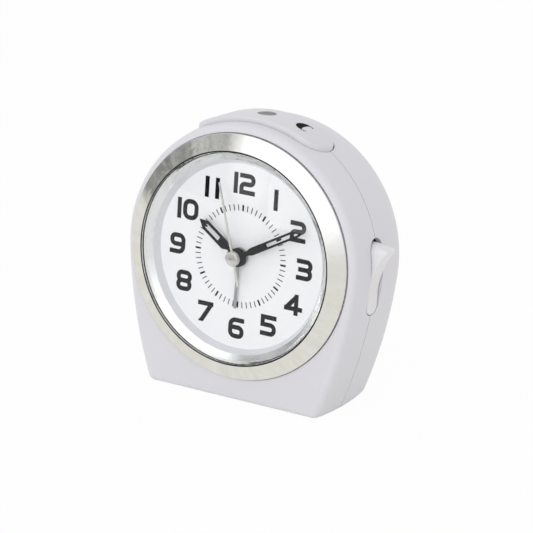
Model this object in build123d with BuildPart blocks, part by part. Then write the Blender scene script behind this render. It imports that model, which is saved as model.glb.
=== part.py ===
"""Bedside quartz alarm clock with an arched case, as the separate pieces of the real one.

Lengths are in millimetres and angles in degrees. +Z is up and the clock looks along -Y.
The origin is the middle of the flat base. Pieces behind the face are placed by how far
they lie right of, above and behind the middle of the case's front face.
"""

import os
from math import asin, cos, radians, sin, sqrt, tan

from build123d import *

os.makedirs("parts", exist_ok=True)

# Stance: the face leans back and the base is level
tilt = 6.6
dial_height = 49.8

# Case shells: an arch on two long flank arcs, with sides that bow out from the front to the back
arch_radius = 44.2
flank_radius = 160.0
flank_start = 5.0
outline_foot = 64.0
bow_depth = 16.2
bow_rise = 1.9
bow_end = 26.0
parting_depth = 13.0
case_depth = 40.0
wall = 2.0
front_round = 3.0
rear_round = 15.0
base_round = 2.0
parting_rebate = 0.3

# Fits: pieces of one body, pieces that move past each other, bearings, and one overrun for cuts
fit_gap = 0.05
running_gap = 0.35
bearing_gap = 0.05
overrun = 1.0

# Bezel, crystal and dial, with heights above the case's front face
bezel_radius = 42.0
bezel_rim = 0.9
bezel_crown_radius = 36.7
bezel_rise = 3.9
bezel_opening = 36.2
bezel_lip = 0.6
bezel_edge_round = 0.25
groove_width = 0.3
groove_depth = 0.9
collar_wall = 1.5
crystal_radius = 37.0
crystal_gap = 0.3
crystal_flange = 1.0
crystal_rise = 2.6
crystal_wall = 1.1
dial_depth = 1.7
dial_thickness = 0.6
dial_opening = 31.7
ring_top_radius = 36.0
ring_step_radius = 33.2
ring_step_height = 0.6
seat_radius = 41.0
seat_thickness = 1.8

# Print on the dial
print_thickness = 0.08
numeral_circle = 24.9
numeral_height = 7.2
numeral_width = 4.5
numeral_stroke = 1.55
numeral_space = 0.7
pair_space = 2.5
track_outer = 17.7
track_inner = 15.64
minute_tick = 0.26
hour_tick = 0.62

# Hands: length from the axis, and height of the blade above the dial
hand_thickness = 0.4
hub_radius = 3.2
hub_height = 1.0
alarm_hand_lift = 0.9
hour_hand_lift = 2.1
minute_hand_lift = 3.3
second_hand_lift = 4.5
alarm_hand_length = 17.8
alarm_hand_width = 0.9
hour_hand_length = 18.6
hour_hand_width = 3.5
hour_neck_width = 1.7
hour_neck_end = 4.6
hour_shoulder = 6.2
hour_window_start = 8.9
hour_window_end = 15.2
hour_rail = 0.85
hour_point_start = 15.6
minute_hand_length = 30.0
minute_hand_width = 2.6
minute_neck_width = 1.6
minute_neck_end = 5.6
minute_shoulder = 7.2
minute_window_start = 13.6
minute_window_end = 26.6
minute_rail = 0.75
minute_point_start = 26.8
second_hand_length = 26.0
second_hand_tail = 9.4
second_hand_width = 0.5
second_tail_width = 0.9
cap_radius = 2.55
cap_height = 1.5
cap_round = 0.4

# Where the hands stand, clockwise from twelve
alarm_hand_angle = 181.4
hour_hand_angle = 305.0
minute_hand_angle = 61.0
second_hand_angle = 344.4

# Nested tubes of the four hands
second_arbor_radius = 0.4
tube_wall = 0.4
bush_wall = 0.9

# Movement housing, by its edges right, left, above and below the hand axis
movement_half_width = 20.4
movement_top = 19.6
movement_bottom = 24.6
movement_depth = 15.1
plate_floor = 1.8
plate_wall = 1.4
cover_thickness = 1.6
corner_inset = 3.2
corner_post_radius = 2.2
movement_screw_radius = 0.9
movement_screw_head = 1.7
movement_screw_head_height = 1.0
movement_screw_length = 9.0
clip_width = 8.0
clip_thickness = 1.4
clip_hook = 1.0
clip_gap = 0.15

# Gear layers: depth behind the movement plate's floor where each wheel starts
wheel_thickness = 0.8
pinion_thickness = 1.0
alarm_layer = 0.2
hour_layer = 1.3
motion_layer = 2.4
centre_layer = 3.5
third_layer = 5.0
bridge_layer = 6.3
second_layer = 7.4
fifth_layer = 8.7
bridge_thickness = 0.8
washer_thickness = 0.2
washer_radius = 2.2

# Tooth form, in shares of the module and of one tooth's step
addendum_share = 0.8
dedendum_share = 1.15
tooth_root_share = 0.21
tooth_tip_share = 0.10
line_share = 0.5

# Tooth counts and modules
centre_teeth = 64
third_pinion_teeth = 8
third_teeth = 60
second_pinion_teeth = 8
second_teeth = 60
fifth_pinion_teeth = 8
fifth_teeth = 32
rotor_pinion_teeth = 8
cannon_teeth = 12
motion_teeth = 36
motion_pinion_teeth = 10
hour_teeth = 40
set_teeth = 18
alarm_teeth = 36
alarm_set_teeth = 30
centre_module = 0.25
second_module = 0.2
motor_module = 0.25
motion_module = 0.3
alarm_module = 0.3

# Directions from one gear axis to the next, counterclockwise from the right
third_direction = 90.0
fifth_direction = 270.0
rotor_direction = 216.87
motion_direction = 345.0
set_direction = 0.0
alarm_set_direction = 180.0

# Arbors, studs and setting shafts
arbor_radius = 0.35
stud_radius = 0.5
pivot_depth = 1.0
post_radius = 1.2
set_shaft_radius = 1.25
set_pivot_radius = 0.6
knob_radius = 5.6
knob_height = 5.4
knob_gap = 0.5
knob_flutes = 20
knob_flute_radius = 0.55
knob_socket = 3.0

# Stepping motor
magnet_radius = 2.2
magnet_height = 1.0
stator_gap = 0.4
stator_ring_radius = 3.9
stator_thickness = 0.8
stator_half_width = 11.0
stator_bar = 3.0
coil_distance = 9.4
bobbin_length = 14.0
bobbin_flange = 0.8
bobbin_core_radius = 1.9
bobbin_flange_radius = 3.0
winding_radius = 2.8

# Electronics behind the movement
board_half_width = 14.0
board_low = 5.4
board_high = 18.0
board_thickness = 1.2
board_standoff = 0.7
standoff_radius = 1.1
chip_radius = 3.6
chip_height = 1.2
chip_place = -7.0
quartz_radius = 1.5
quartz_length = 6.2
quartz_place = 8.0

# Alarm contact leaf beside the alarm wheel
leaf_length = 11.0
leaf_thickness = 0.3
leaf_height = 2.6
leaf_distance = 11.6

# Sounder and its slots in the back
buzzer_radius = 9.5
buzzer_height = 4.2
buzzer_above = 17.6
buzzer_round = 0.5
buzzer_port_radius = 1.6
slot_count = 5
slot_pitch = 2.6
slot_width = 1.2
slot_length = 13.0

# Snooze bar and what it presses
snooze_length = 50.0
snooze_width = 16.0
snooze_rise = 1.2
snooze_depth = 5.2
snooze_round = 1.3
snooze_travel = 1.5
flange_thickness = 1.0
flange_width = 0.75
window_radius = 3.2
window_sink = 0.12
window_round = 0.25
top_board_height = 30.0
top_board_half_width = 18.0
top_board_width = 11.0
top_rib_height = 2.4
top_rib_width = 1.6
top_rib_place = 12.0
snooze_switch_place = 7.6
snooze_switch_size = 6.0
snooze_switch_height = 3.2
snooze_plunger_radius = 1.6
snooze_plunger_height = 0.6
press_post_radius = 1.6
spring_place = 14.5
spring_radius = 2.2
spring_wire = 0.5
spring_turns = 4
guide_pin_radius = 1.1
guide_pin_length = 2.6
sensor_size = 4.0
sensor_height = 2.2

# Alarm slide on the right flank
slide_top = 11.0
slide_bottom = 13.9
slide_width = 7.0
slide_travel = 1.2
slide_end_gap = 0.25
slide_tip_height = 9.1
slide_tip_reach = 51.4
slide_round = 0.7
slide_bump_radius = 0.6
slide_flange_reach = 39.6
slide_flange_thickness = 1.3
slide_flange_top = 12.4
slide_flange_bottom = 16.0
slide_flange_width = 12.0
rail_height = 2.0
rail_thickness = 1.6
rail_top_place = 6.5
rail_low_place = -11.0
tongue_width = 2.4
tongue_place = -1.6
tongue_length = 3.6
switch_depth = 4.6
switch_half_height = 5.0
switch_width = 6.0
switch_slot_depth = 1.8
bracket_thickness = 1.6

# Battery bay, contacts and door
cell_length = 50.5
cell_radius = 7.2
cell_nub_radius = 2.7
cell_nub_length = 1.0
bay_lift = 15.8
bay_height = dial_height - bay_lift
bay_side_room = 2.2
bay_gap = 0.5
bay_wall = 1.6
contact_thickness = 0.4
contact_half_height = 5.0
cell_spring_radius = 3.4
cell_spring_wire = 0.6
cell_spring_turns = 2
door_lap = 0.8
door_corner = 3.5
door_seat_gap = 0.1
thumb_radius = 5.0
thumb_depth = 0.9

# Screws that hold the two shells
screw_side = 25.0
screw_above = 14.0
screw_below = 17.0
screw_boss_radius = 3.6
screw_boss_meet = 20.0
screw_radius = 1.45
screw_head_radius = 2.5
screw_head_height = 1.6
screw_well = 6.0
screw_bite = 9.0
cross_length = 2.6
cross_width = 0.6
cross_depth = 0.7

# Planes: the face, its crown seen from above and its flank seen from the right
lean = radians(tilt)
face_setback = case_depth / (2 * cos(lean)) - dial_height * tan(lean)
FACE = Plane(
    origin=(0, -face_setback, dial_height),
    x_dir=(1, 0, 0),
    z_dir=(0, -cos(lean), sin(lean)),
)
CROWN = Plane(origin=FACE.origin, x_dir=FACE.x_dir, z_dir=FACE.y_dir)
FLANK = Plane(origin=FACE.origin, x_dir=-FACE.z_dir, z_dir=FACE.x_dir)
AXIAL = Plane(origin=FACE.origin, x_dir=FACE.x_dir, z_dir=-FACE.y_dir)
HAND_AXIS = Axis(FACE.origin, FACE.z_dir)
UPWARD = Axis(FACE.origin, FACE.y_dir)
PARTING = FACE.offset(-parting_depth)
REARWARD = (Align.CENTER, Align.CENTER, Align.MAX)
FROM_CORNER = (Align.MIN, Align.MIN, Align.MAX)


def face_spot(right, above, depth):
    """The face plane moved to a spot right of, above and behind its middle."""
    return FACE * Pos(right, above, -depth)


def rod(place, radius, start, end, mode=Mode.ADD):
    """Round bar square to the face, from one depth to a deeper one."""
    with Locations(face_spot(*place, start)):
        Cylinder(radius, end - start, align=REARWARD, mode=mode)


def slab(left, right, low, high, start, end, mode=Mode.ADD):
    """Block square to the face, between its edges and two depths."""
    with Locations(face_spot(left, low, start)):
        Box(right - left, high - low, end - start, align=FROM_CORNER, mode=mode)


def axial_profile(points, round_corners=(), corner_round=0.0):
    """Half section through the hand axis, as distance from it and height above the face."""
    with BuildSketch(AXIAL) as profile:
        with BuildLine():
            Polyline(*points, close=True)
        make_face()
        for corner in round_corners:
            fillet(profile.vertices().sort_by_distance(corner)[0], corner_round)
    return profile.sketch


def step_to(place, direction, distance):
    """The place that lies this far from another in the given direction."""
    angle = radians(direction)
    return (place[0] + distance * cos(angle), place[1] + distance * sin(angle))


def toothed_face(place, depth, module, teeth, turn):
    """Straight-flanked gear outline with one tooth pointing along turn."""
    pitch_radius = module * teeth / 2
    tip = pitch_radius + addendum_share * module
    root = pitch_radius - dedendum_share * module
    step = 360 / teeth
    corners = (
        (root, -tooth_root_share),
        (tip, -tooth_tip_share),
        (tip, tooth_tip_share),
        (root, tooth_root_share),
    )
    points = []
    for tooth in range(teeth):
        for radius, share in corners:
            points.append(step_to(place, turn + (tooth + share) * step, radius))
    with BuildSketch(FACE.offset(-depth)) as outline:
        with BuildLine():
            Polyline(*points, close=True)
        make_face()
    return outline.sketch


def gear(place, start, thickness, module, teeth, turn):
    """Gear that starts at a depth and reaches back by its thickness."""
    extrude(toothed_face(place, start, module, teeth, turn), amount=-thickness)


def facing_turn(teeth, direction):
    """Turn that puts a gap on the line back to the gear in front."""
    return direction + 180 + line_share * 360 / teeth


def following_turn(driver_turn, driver_teeth, teeth, direction):
    """Turn of a gear that meshes with one whose tooth isn't on the line between them."""
    return facing_turn(teeth, direction) - (driver_turn - direction) * driver_teeth / teeth


def bow(depth):
    """How far the case's sides stand out at a depth: a parabola, then straight on where it ends."""
    bowed = min(depth, bow_end)
    slope = 2 * bow_rise * (bow_end - bow_depth) / bow_depth**2
    return bow_rise - bow_rise * (bowed / bow_depth - 1) ** 2 - slope * (depth - bowed)


def finish(piece, name):
    """Name a finished piece and write it."""
    piece.part.label = name
    export_step(piece.part, f"parts/{name}.step")


# Depths of the stack behind the face
seat_depth = dial_depth + dial_thickness
seat_back = seat_depth + seat_thickness
floor_depth = seat_back + plate_floor
cover_depth = seat_back + movement_depth - cover_thickness
movement_back = seat_back + movement_depth
back_inside = case_depth - wall

# Radii of the arch at the parting line and of the snooze bar that stands out of it
parting_radius = arch_radius + bow(parting_depth)
snooze_radius = parting_radius + snooze_rise
snooze_root_radius = snooze_radius - snooze_depth
flange_radius = snooze_root_radius - flange_thickness

# Gear axes
HAND_PLACE = (0.0, 0.0)
third_distance = centre_module * (centre_teeth + third_pinion_teeth) / 2
third_module = 2 * third_distance / (third_teeth + second_pinion_teeth)
fifth_distance = second_module * (second_teeth + fifth_pinion_teeth) / 2
rotor_distance = motor_module * (fifth_teeth + rotor_pinion_teeth) / 2
motion_distance = motion_module * (cannon_teeth + motion_teeth) / 2
hour_module = 2 * motion_distance / (motion_pinion_teeth + hour_teeth)
set_distance = motion_module * (motion_teeth + set_teeth) / 2
alarm_set_distance = alarm_module * (alarm_teeth + alarm_set_teeth) / 2
third_place = step_to(HAND_PLACE, third_direction, third_distance)
fifth_place = step_to(HAND_PLACE, fifth_direction, fifth_distance)
rotor_place = step_to(fifth_place, rotor_direction, rotor_distance)
motion_place = step_to(HAND_PLACE, motion_direction, motion_distance)
set_place = step_to(motion_place, set_direction, set_distance)
alarm_set_place = step_to(HAND_PLACE, alarm_set_direction, alarm_set_distance)

# Radii of the nested hand tubes
minute_tube_bore = second_arbor_radius + bearing_gap
minute_tube_radius = minute_tube_bore + tube_wall
hour_tube_bore = minute_tube_radius + bearing_gap
hour_tube_radius = hour_tube_bore + tube_wall
alarm_tube_bore = hour_tube_radius + bearing_gap
alarm_tube_radius = alarm_tube_bore + tube_wall
bush_bore = alarm_tube_radius + bearing_gap
bush_radius = bush_bore + bush_wall


def case_outline(depth, grow):
    """Arch, two flank arcs tangent to it and a straight foot, all moved out by grow."""
    start = radians(flank_start)
    centre_x = (arch_radius - flank_radius) * cos(start)
    centre_y = (flank_radius - arch_radius) * sin(start)
    flank = flank_radius + grow
    foot = asin((centre_y + outline_foot) / flank)
    middle = (start + foot) / 2
    foot_x = centre_x + flank * cos(foot)
    middle_x = centre_x + flank * cos(middle)
    middle_y = centre_y - flank * sin(middle)
    with BuildSketch(FACE.offset(-depth)) as outline:
        with BuildLine():
            arch = CenterArc((0, 0), arch_radius + grow, -flank_start, 180 + 2 * flank_start)
            ThreePointArc(arch @ 0, (middle_x, middle_y), (foot_x, -outline_foot))
            ThreePointArc(arch @ 1, (-middle_x, middle_y), (-foot_x, -outline_foot))
            Line((-foot_x, -outline_foot), (foot_x, -outline_foot))
        make_face()
    return outline.sketch


def case_form(inset):
    """Closed form of the case, or of its hollow when inset by the wall."""
    front_middle = (inset + parting_depth) / 2
    rear_middle = (parting_depth + bow_end) / 2
    bowed = [inset, front_middle, parting_depth, rear_middle, bow_end]
    straight = [bow_end, case_depth - inset]
    with BuildPart() as form:
        loft([case_outline(depth, bow(depth) - inset) for depth in bowed])
        loft([case_outline(depth, bow(depth) - inset) for depth in straight], ruled=True)
        front = form.faces().sort_by(HAND_AXIS)[-1]
        fillet(front.edges().filter_by(GeomType.LINE, reverse=True), front_round - inset)
        back = form.faces().sort_by(HAND_AXIS)[0]
        fillet(back.edges().filter_by(GeomType.LINE, reverse=True), rear_round - inset)
        split(bisect_by=Plane.XY.offset(inset), keep=Keep.TOP)
        if inset == 0:
            fillet(form.faces().sort_by(Axis.Z)[0].edges(), base_round)
    return form.part


def snooze_stadium(level, grow):
    """Stadium of the snooze bar seen along the crown, grown by grow."""
    with BuildSketch(CROWN.offset(level)) as stadium:
        with Locations((0, parting_depth)):
            SlotOverall(snooze_length + 2 * grow, snooze_width + 2 * grow)
    return stadium.sketch


def crown_shell(grow, inner, outer):
    """What the grown stadium keeps of the arch between two radii."""
    with BuildSketch(FACE) as band:
        Circle(outer)
        Circle(inner, mode=Mode.SUBTRACT)
    with BuildPart() as shell:
        extrude(snooze_stadium(0, grow), amount=outer + overrun)
        extrude(band.sketch, amount=-case_depth, mode=Mode.INTERSECT)
    return shell.part


def slide_stadium(reach, top, bottom, width):
    """Upright stadium on the right flank, between a top and a bottom."""
    with BuildSketch(FLANK.offset(reach)) as stadium:
        with Locations((parting_depth, (top - bottom) / 2)):
            SlotOverall(top + bottom, width, rotation=90)
    return stadium.sketch


def door_opening(start, grow):
    """Rounded rectangle of the battery door, grown by grow."""
    half_width = cell_length / 2 + bay_side_room + door_lap + grow
    half_height = cell_radius + bay_gap + door_lap + grow
    with BuildSketch(FACE.offset(-start)) as opening:
        with Locations((0, -bay_height)):
            RectangleRounded(2 * half_width, 2 * half_height, door_corner + grow)
    return opening.sketch


case_outer = case_form(0)
case_hollow = case_form(wall)
slide_room_top = slide_top + slide_travel + slide_end_gap
slide_room_bottom = slide_bottom + slide_end_gap
slide_slot_width = slide_width + 2 * running_gap
slide_slot_start = slide_flange_reach + slide_flange_thickness
screw_places = [
    (screw_side, screw_above),
    (-screw_side, screw_above),
    (screw_side, -screw_below),
    (-screw_side, -screw_below),
]
collar_bore = crystal_radius + fit_gap
collar_radius = collar_bore + collar_wall
clip_place = movement_half_width + clip_gap
switch_reach = slide_flange_reach - tongue_length
switch_back = switch_reach - switch_depth + switch_slot_depth
top_board_low = top_board_height - board_thickness
top_board_back = parting_depth + top_board_width / 2

# Front shell with a rebated parting edge, a groove round the bezel, the dial's seat, bosses and clips
with BuildPart() as front_case:
    add(case_outer)
    add(case_hollow, mode=Mode.SUBTRACT)
    split(bisect_by=PARTING, keep=Keep.TOP)
    rebate_floor = case_outline(parting_depth, bow(parting_depth) - parting_rebate)
    rebate_room = case_outline(parting_depth, bow(parting_depth) + overrun)
    extrude(rebate_room - rebate_floor, amount=parting_rebate, mode=Mode.SUBTRACT)
    with BuildSketch(FACE):
        Circle(bezel_radius + groove_width)
        Circle(bezel_radius, mode=Mode.SUBTRACT)
    extrude(amount=-groove_depth, mode=Mode.SUBTRACT)
    rod(HAND_PLACE, seat_radius, wall / 2, seat_back)
    rod(HAND_PLACE, collar_radius + fit_gap, -overrun, seat_depth, mode=Mode.SUBTRACT)
    rod(HAND_PLACE, bush_radius + fit_gap, 0, seat_back + overrun, mode=Mode.SUBTRACT)
    for place in screw_places:
        rod(place, screw_boss_radius, seat_back, screw_boss_meet)
        rod(
            place,
            screw_radius + fit_gap,
            screw_boss_meet - screw_bite,
            screw_boss_meet,
            mode=Mode.SUBTRACT,
        )
    for side in (1, -1):
        inner_edge = side * clip_place
        outer_edge = side * (clip_place + clip_thickness)
        hook_edge = side * (clip_place - clip_hook)
        clip_left, clip_right = sorted((inner_edge, outer_edge))
        slab(
            clip_left,
            clip_right,
            -clip_width / 2,
            clip_width / 2,
            seat_back,
            movement_back + clip_thickness,
        )
        hook_left, hook_right = sorted((hook_edge, outer_edge))
        hook_start = movement_back + clip_gap
        slab(
            hook_left,
            hook_right,
            -clip_width / 2,
            clip_width / 2,
            hook_start,
            hook_start + clip_thickness,
        )
        rib_left = side * top_rib_place - top_rib_width / 2
        rib_low = top_board_low - top_rib_height
        slab(rib_left, rib_left + top_rib_width, rib_low, top_board_low, seat_back, top_board_back)
    rail_right = slide_flange_reach - running_gap
    for place in (rail_low_place, rail_top_place):
        slab(rail_right - rail_thickness, rail_right, place, place + rail_height, seat_back, parting_depth)
    slab(
        switch_back - bracket_thickness,
        switch_back,
        tongue_place - switch_half_height,
        tongue_place + switch_half_height,
        seat_back,
        parting_depth + switch_width / 2,
    )
    extrude(snooze_stadium(top_board_height, running_gap), amount=snooze_radius, mode=Mode.SUBTRACT)
    extrude(
        slide_stadium(slide_slot_start, slide_room_top, slide_room_bottom, slide_slot_width),
        amount=slide_tip_reach,
        mode=Mode.SUBTRACT,
    )
finish(front_case, "front_case")

# Rear shell with the battery bay, screw wells, sounder seat and slots, and shaft holes
bay_inner_x = cell_length / 2 + bay_side_room
bay_inner_y = cell_radius + bay_gap
bay_front = back_inside - door_seat_gap - 2 * (cell_radius + bay_gap)
with BuildPart() as bay_block:
    slab(
        -bay_inner_x - bay_wall,
        bay_inner_x + bay_wall,
        -bay_height - bay_inner_y - bay_wall,
        -bay_height + bay_inner_y + bay_wall,
        bay_front - bay_wall,
        case_depth,
    )
    add(case_outer, mode=Mode.INTERSECT)
    slab(
        -bay_inner_x,
        bay_inner_x,
        -bay_height - bay_inner_y,
        -bay_height + bay_inner_y,
        bay_front,
        case_depth + overrun,
        mode=Mode.SUBTRACT,
    )
with BuildPart() as rear_case:
    add(case_outer)
    add(case_hollow, mode=Mode.SUBTRACT)
    split(bisect_by=PARTING, keep=Keep.BOTTOM)
    add(bay_block.part)
    for place in screw_places:
        rod(place, screw_boss_radius + running_gap, seat_back, screw_boss_meet, mode=Mode.SUBTRACT)
        rod(place, screw_boss_radius, screw_boss_meet, back_inside)
        rod(place, screw_radius + running_gap, screw_boss_meet, case_depth, mode=Mode.SUBTRACT)
        rod(
            place,
            screw_head_radius + running_gap,
            case_depth - screw_well,
            case_depth + overrun,
            mode=Mode.SUBTRACT,
        )
    rod((0, buzzer_above), buzzer_radius, back_inside - wall / 2, back_inside)
    rod((0, buzzer_above), buzzer_radius - wall, back_inside - wall, back_inside, mode=Mode.SUBTRACT)
    with BuildSketch(FACE.offset(-back_inside + overrun)):
        with Locations((0, buzzer_above)):
            with GridLocations(0, slot_pitch, 1, slot_count):
                SlotOverall(slot_length, slot_width)
    extrude(amount=-wall - 2 * overrun, mode=Mode.SUBTRACT)
    for place in (set_place, alarm_set_place):
        rod(
            place,
            set_shaft_radius + running_gap,
            back_inside - overrun,
            case_depth + overrun,
            mode=Mode.SUBTRACT,
        )
    extrude(door_opening(back_inside - door_seat_gap, 0), amount=-wall - overrun, mode=Mode.SUBTRACT)
    extrude(snooze_stadium(top_board_height, running_gap), amount=snooze_radius, mode=Mode.SUBTRACT)
    extrude(
        slide_stadium(slide_slot_start, slide_room_top, slide_room_bottom, slide_slot_width),
        amount=slide_tip_reach,
        mode=Mode.SUBTRACT,
    )
finish(rear_case, "rear_case")

# Battery door: the piece of the back that fills the opening, flat inside, with a thumb hollow
with BuildPart() as battery_door:
    add(case_outer)
    extrude(door_opening(back_inside, -running_gap), amount=-wall - overrun, mode=Mode.INTERSECT)
    with Locations(face_spot(0, -bay_height + bay_inner_y, case_depth + thumb_radius - thumb_depth)):
        Sphere(thumb_radius, mode=Mode.SUBTRACT)
finish(battery_door, "battery_door")

# Polished bezel: a cone on a short rim, with a lip over the crystal and a collar into the case
lip_under = bezel_rise - bezel_lip
rim_corner = (bezel_radius, bezel_rim)
crown_corner = (bezel_crown_radius, bezel_rise)
bezel_section = [
    (bezel_radius, 0),
    rim_corner,
    crown_corner,
    (bezel_opening, bezel_rise),
    (bezel_opening, lip_under),
    (collar_bore, lip_under),
    (collar_bore, -seat_depth),
    (collar_radius, -seat_depth),
    (collar_radius, 0),
]
with BuildPart() as bezel:
    revolve(axial_profile(bezel_section, (rim_corner, crown_corner), bezel_edge_round), axis=HAND_AXIS)
finish(bezel, "bezel")


def dome(radius, rim, rise):
    """Height above its rim of a shallow ball cap, at a distance from its middle."""
    ball = (rim**2 + rise**2) / (2 * rise)
    return sqrt(ball**2 - radius**2) - (ball - rise)


# Clear domed crystal with a flange under the bezel's lip
flange_under = lip_under - crystal_flange
crystal_rim = bezel_opening - crystal_gap
crystal_inner_rim = crystal_rim - crystal_wall
inner_middle = crystal_inner_rim / 2
with BuildPart() as crystal:
    with BuildSketch(AXIAL):
        with BuildLine():
            outer_arc = ThreePointArc(
                (0, lip_under + crystal_rise),
                (crystal_rim / 2, lip_under + dome(crystal_rim / 2, crystal_rim, crystal_rise)),
                (crystal_rim, lip_under),
            )
            inner_rise = crystal_rise + crystal_flange - crystal_wall
            inner_arc = ThreePointArc(
                (0, flange_under + inner_rise),
                (inner_middle, flange_under + dome(inner_middle, crystal_inner_rim, inner_rise)),
                (crystal_inner_rim, flange_under),
            )
            Polyline(
                outer_arc @ 1,
                (crystal_radius, lip_under),
                (crystal_radius, flange_under),
                inner_arc @ 1,
            )
            Line(outer_arc @ 0, inner_arc @ 0)
        make_face()
    revolve(axis=HAND_AXIS)
finish(crystal, "crystal")

# Silver ring between crystal and dial, a gentle slope above a steep one
with BuildPart() as dial_ring:
    revolve(
        axial_profile(
            [
                (crystal_radius, -dial_depth),
                (crystal_radius, flange_under),
                (ring_top_radius, flange_under),
                (ring_step_radius, ring_step_height),
                (dial_opening, -dial_depth),
            ]
        ),
        axis=HAND_AXIS,
    )
finish(dial_ring, "dial_ring")

# Dial disc
with BuildPart() as dial:
    rod(HAND_PLACE, crystal_radius, dial_depth, seat_depth)
    rod(HAND_PLACE, bush_radius + fit_gap, dial_depth, seat_depth, mode=Mode.SUBTRACT)
finish(dial, "dial")

# Strokes of the figures, as shares of a figure's width and height and of its full corner round
digit_stroke_shares = {
    "0": [[(0, 0, 1.4), (1, 0, 1.4), (1, 1, 1.4), (0, 1, 1.4), (0, 0, 1.4)]],
    "1": [[(0, 0, 0), (0, 1, 0)]],
    "2": [[(0, 1, 0), (1, 1, 1), (1, 0.5, 1), (0, 0.5, 1), (0, 0, 0), (1, 0, 0)]],
    "3": [
        [(0, 1, 0), (1, 1, 1), (1, 0.5, 1), (0.15, 0.5, 0)],
        [(0.15, 0.5, 0), (1, 0.5, 1), (1, 0, 1), (0, 0, 0)],
    ],
    "4": [[(0.74, 0, 0), (0.74, 1, 0), (-0.1, 0.25, 0), (1.1, 0.25, 0)]],
    "5": [[(1, 1, 0), (0, 1, 0), (0, 0.54, 0), (1, 0.54, 1), (1, 0, 1), (0, 0, 0)]],
    "6": [[(1, 1, 0), (0, 1, 1.4), (0, 0, 1.2), (1, 0, 1), (1, 0.54, 1), (0, 0.54, 0)]],
    "7": [[(0, 1, 0), (1, 1, 0), (0.12, -0.15, 0)]],
    "8": [
        [(0, 0.5, 1), (1, 0.5, 1), (1, 1, 1), (0, 1, 1), (0, 0.5, 1)],
        [(0, 0, 1), (1, 0, 1), (1, 0.5, 1), (0, 0.5, 1), (0, 0, 1)],
    ],
    "9": [[(0, 0, 0), (1, 0, 1.4), (1, 1, 1.2), (0, 1, 1), (0, 0.46, 1), (1, 0.46, 0)]],
}
numeral_round_share = 0.24


def digit_width(digit):
    """Distance between the outer stroke lines of a figure; a one is a single line."""
    return 0 if digit == "1" else numeral_width


def digit_face(digit, left, low):
    """One figure, its strokes squared off at ends and sharp corners and cut level at its foot."""
    width = digit_width(digit)
    rise = numeral_height - numeral_stroke
    with BuildSketch(FACE.offset(-dial_depth)) as figure:
        for shares in digit_stroke_shares[digit]:
            points = [(left + x * width, low + y * rise) for x, y, turn in shares]
            rounds = [turn * numeral_round_share * rise for x, y, turn in shares]
            with BuildLine(mode=Mode.PRIVATE) as stroke:
                if points[0] == points[-1]:
                    FilletPolyline(*points[:-1], radius=rounds[:-1], close=True)
                elif len(points) > 2:
                    FilletPolyline(*points, radius=rounds[1:-1])
                else:
                    Line(*points)
            for edge in stroke.line.edges():
                trace(edge, line_width=numeral_stroke)
            for point, turn in zip(points, rounds):
                if turn == 0:
                    with Locations(point):
                        Rectangle(numeral_stroke, numeral_stroke)
        with Locations((left + width / 2, low + rise / 2)):
            Rectangle(2 * numeral_height, numeral_height, mode=Mode.INTERSECT)
    return figure.sketch


def numeral_places(hour):
    """Each figure of an hour with its left and low stroke lines, centred on its place on the dial."""
    text = str(hour)
    space = numeral_stroke + (pair_space if text == "11" else numeral_space)
    total = sum(digit_width(digit) for digit in text) + space * (len(text) - 1)
    centre = step_to(HAND_PLACE, 90 - hour * 30, numeral_circle)
    left = centre[0] - total / 2
    low = centre[1] - (numeral_height - numeral_stroke) / 2
    places = []
    for digit in text:
        places.append((digit, left, low))
        left += digit_width(digit) + space
    return places


# Printed figures, one to twelve
with BuildPart() as dial_numerals:
    for hour in range(1, 13):
        for digit, left, low in numeral_places(hour):
            extrude(digit_face(digit, left, low), amount=print_thickness)
finish(dial_numerals, "dial_numerals")

# Printed ring of sixty ticks, bold at the hours
with BuildPart() as minute_track:
    with BuildSketch(FACE.offset(-dial_depth)):
        for minute in range(60):
            width = minute_tick if minute % 5 else hour_tick
            with PolarLocations((track_inner + track_outer) / 2, 1, start_angle=minute * 6):
                Rectangle(track_outer - track_inner, width)
    extrude(amount=print_thickness)
finish(minute_track, "minute_track")


def hand_plane(lift, angle):
    """Plane at a height above the dial whose y axis points along the hand."""
    return face_spot(0, 0, dial_depth - lift) * Rot(0, 0, -angle)


def hand_blade(plane, outline, window):
    """Flat blade along the plane's y axis, with an open window where one is given."""
    mirrored = [(-x, y) for x, y in reversed(outline) if x > 0]
    with BuildSketch(plane) as blade:
        with BuildLine():
            Polyline(*outline, *mirrored, close=True)
        make_face()
        if window:
            with BuildLine():
                Polyline(*window, *[(-x, y) for x, y in reversed(window) if x > 0], close=True)
            make_face(mode=Mode.SUBTRACT)
    return blade.sketch


def hand_hub(lift, bore):
    """Round boss of a hand, drilled for its tube."""
    top = dial_depth - lift - hand_thickness
    rod(HAND_PLACE, hub_radius, top, top + hub_height)
    rod(HAND_PLACE, bore, top - overrun, top + hub_height + overrun, mode=Mode.SUBTRACT)


# Alarm hand: a narrow bar
with BuildPart() as alarm_hand:
    half = alarm_hand_width / 2
    alarm_outline = [(half, 0), (half, alarm_hand_length)]
    extrude(
        hand_blade(hand_plane(alarm_hand_lift, alarm_hand_angle), alarm_outline, None),
        amount=hand_thickness,
    )
    hand_hub(alarm_hand_lift, alarm_tube_radius + fit_gap)
finish(alarm_hand, "alarm_hand")


def skeleton_hand(length, width, neck_width, neck_end, shoulder, window_start, window_end, rail, point_start):
    """Outline and window of a pointed hand on a narrow neck."""
    half = width / 2
    neck = neck_width / 2
    slot = half - rail
    outline = [
        (neck, 0),
        (neck, neck_end),
        (half, shoulder),
        (half, point_start),
        (0, length),
    ]
    point_slope = half / (length - point_start)
    window_tip = window_end + slot / point_slope * rail / half
    window = [(slot, window_start), (slot, window_end), (0, min(window_tip, length - rail / point_slope))]
    return outline, window


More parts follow.
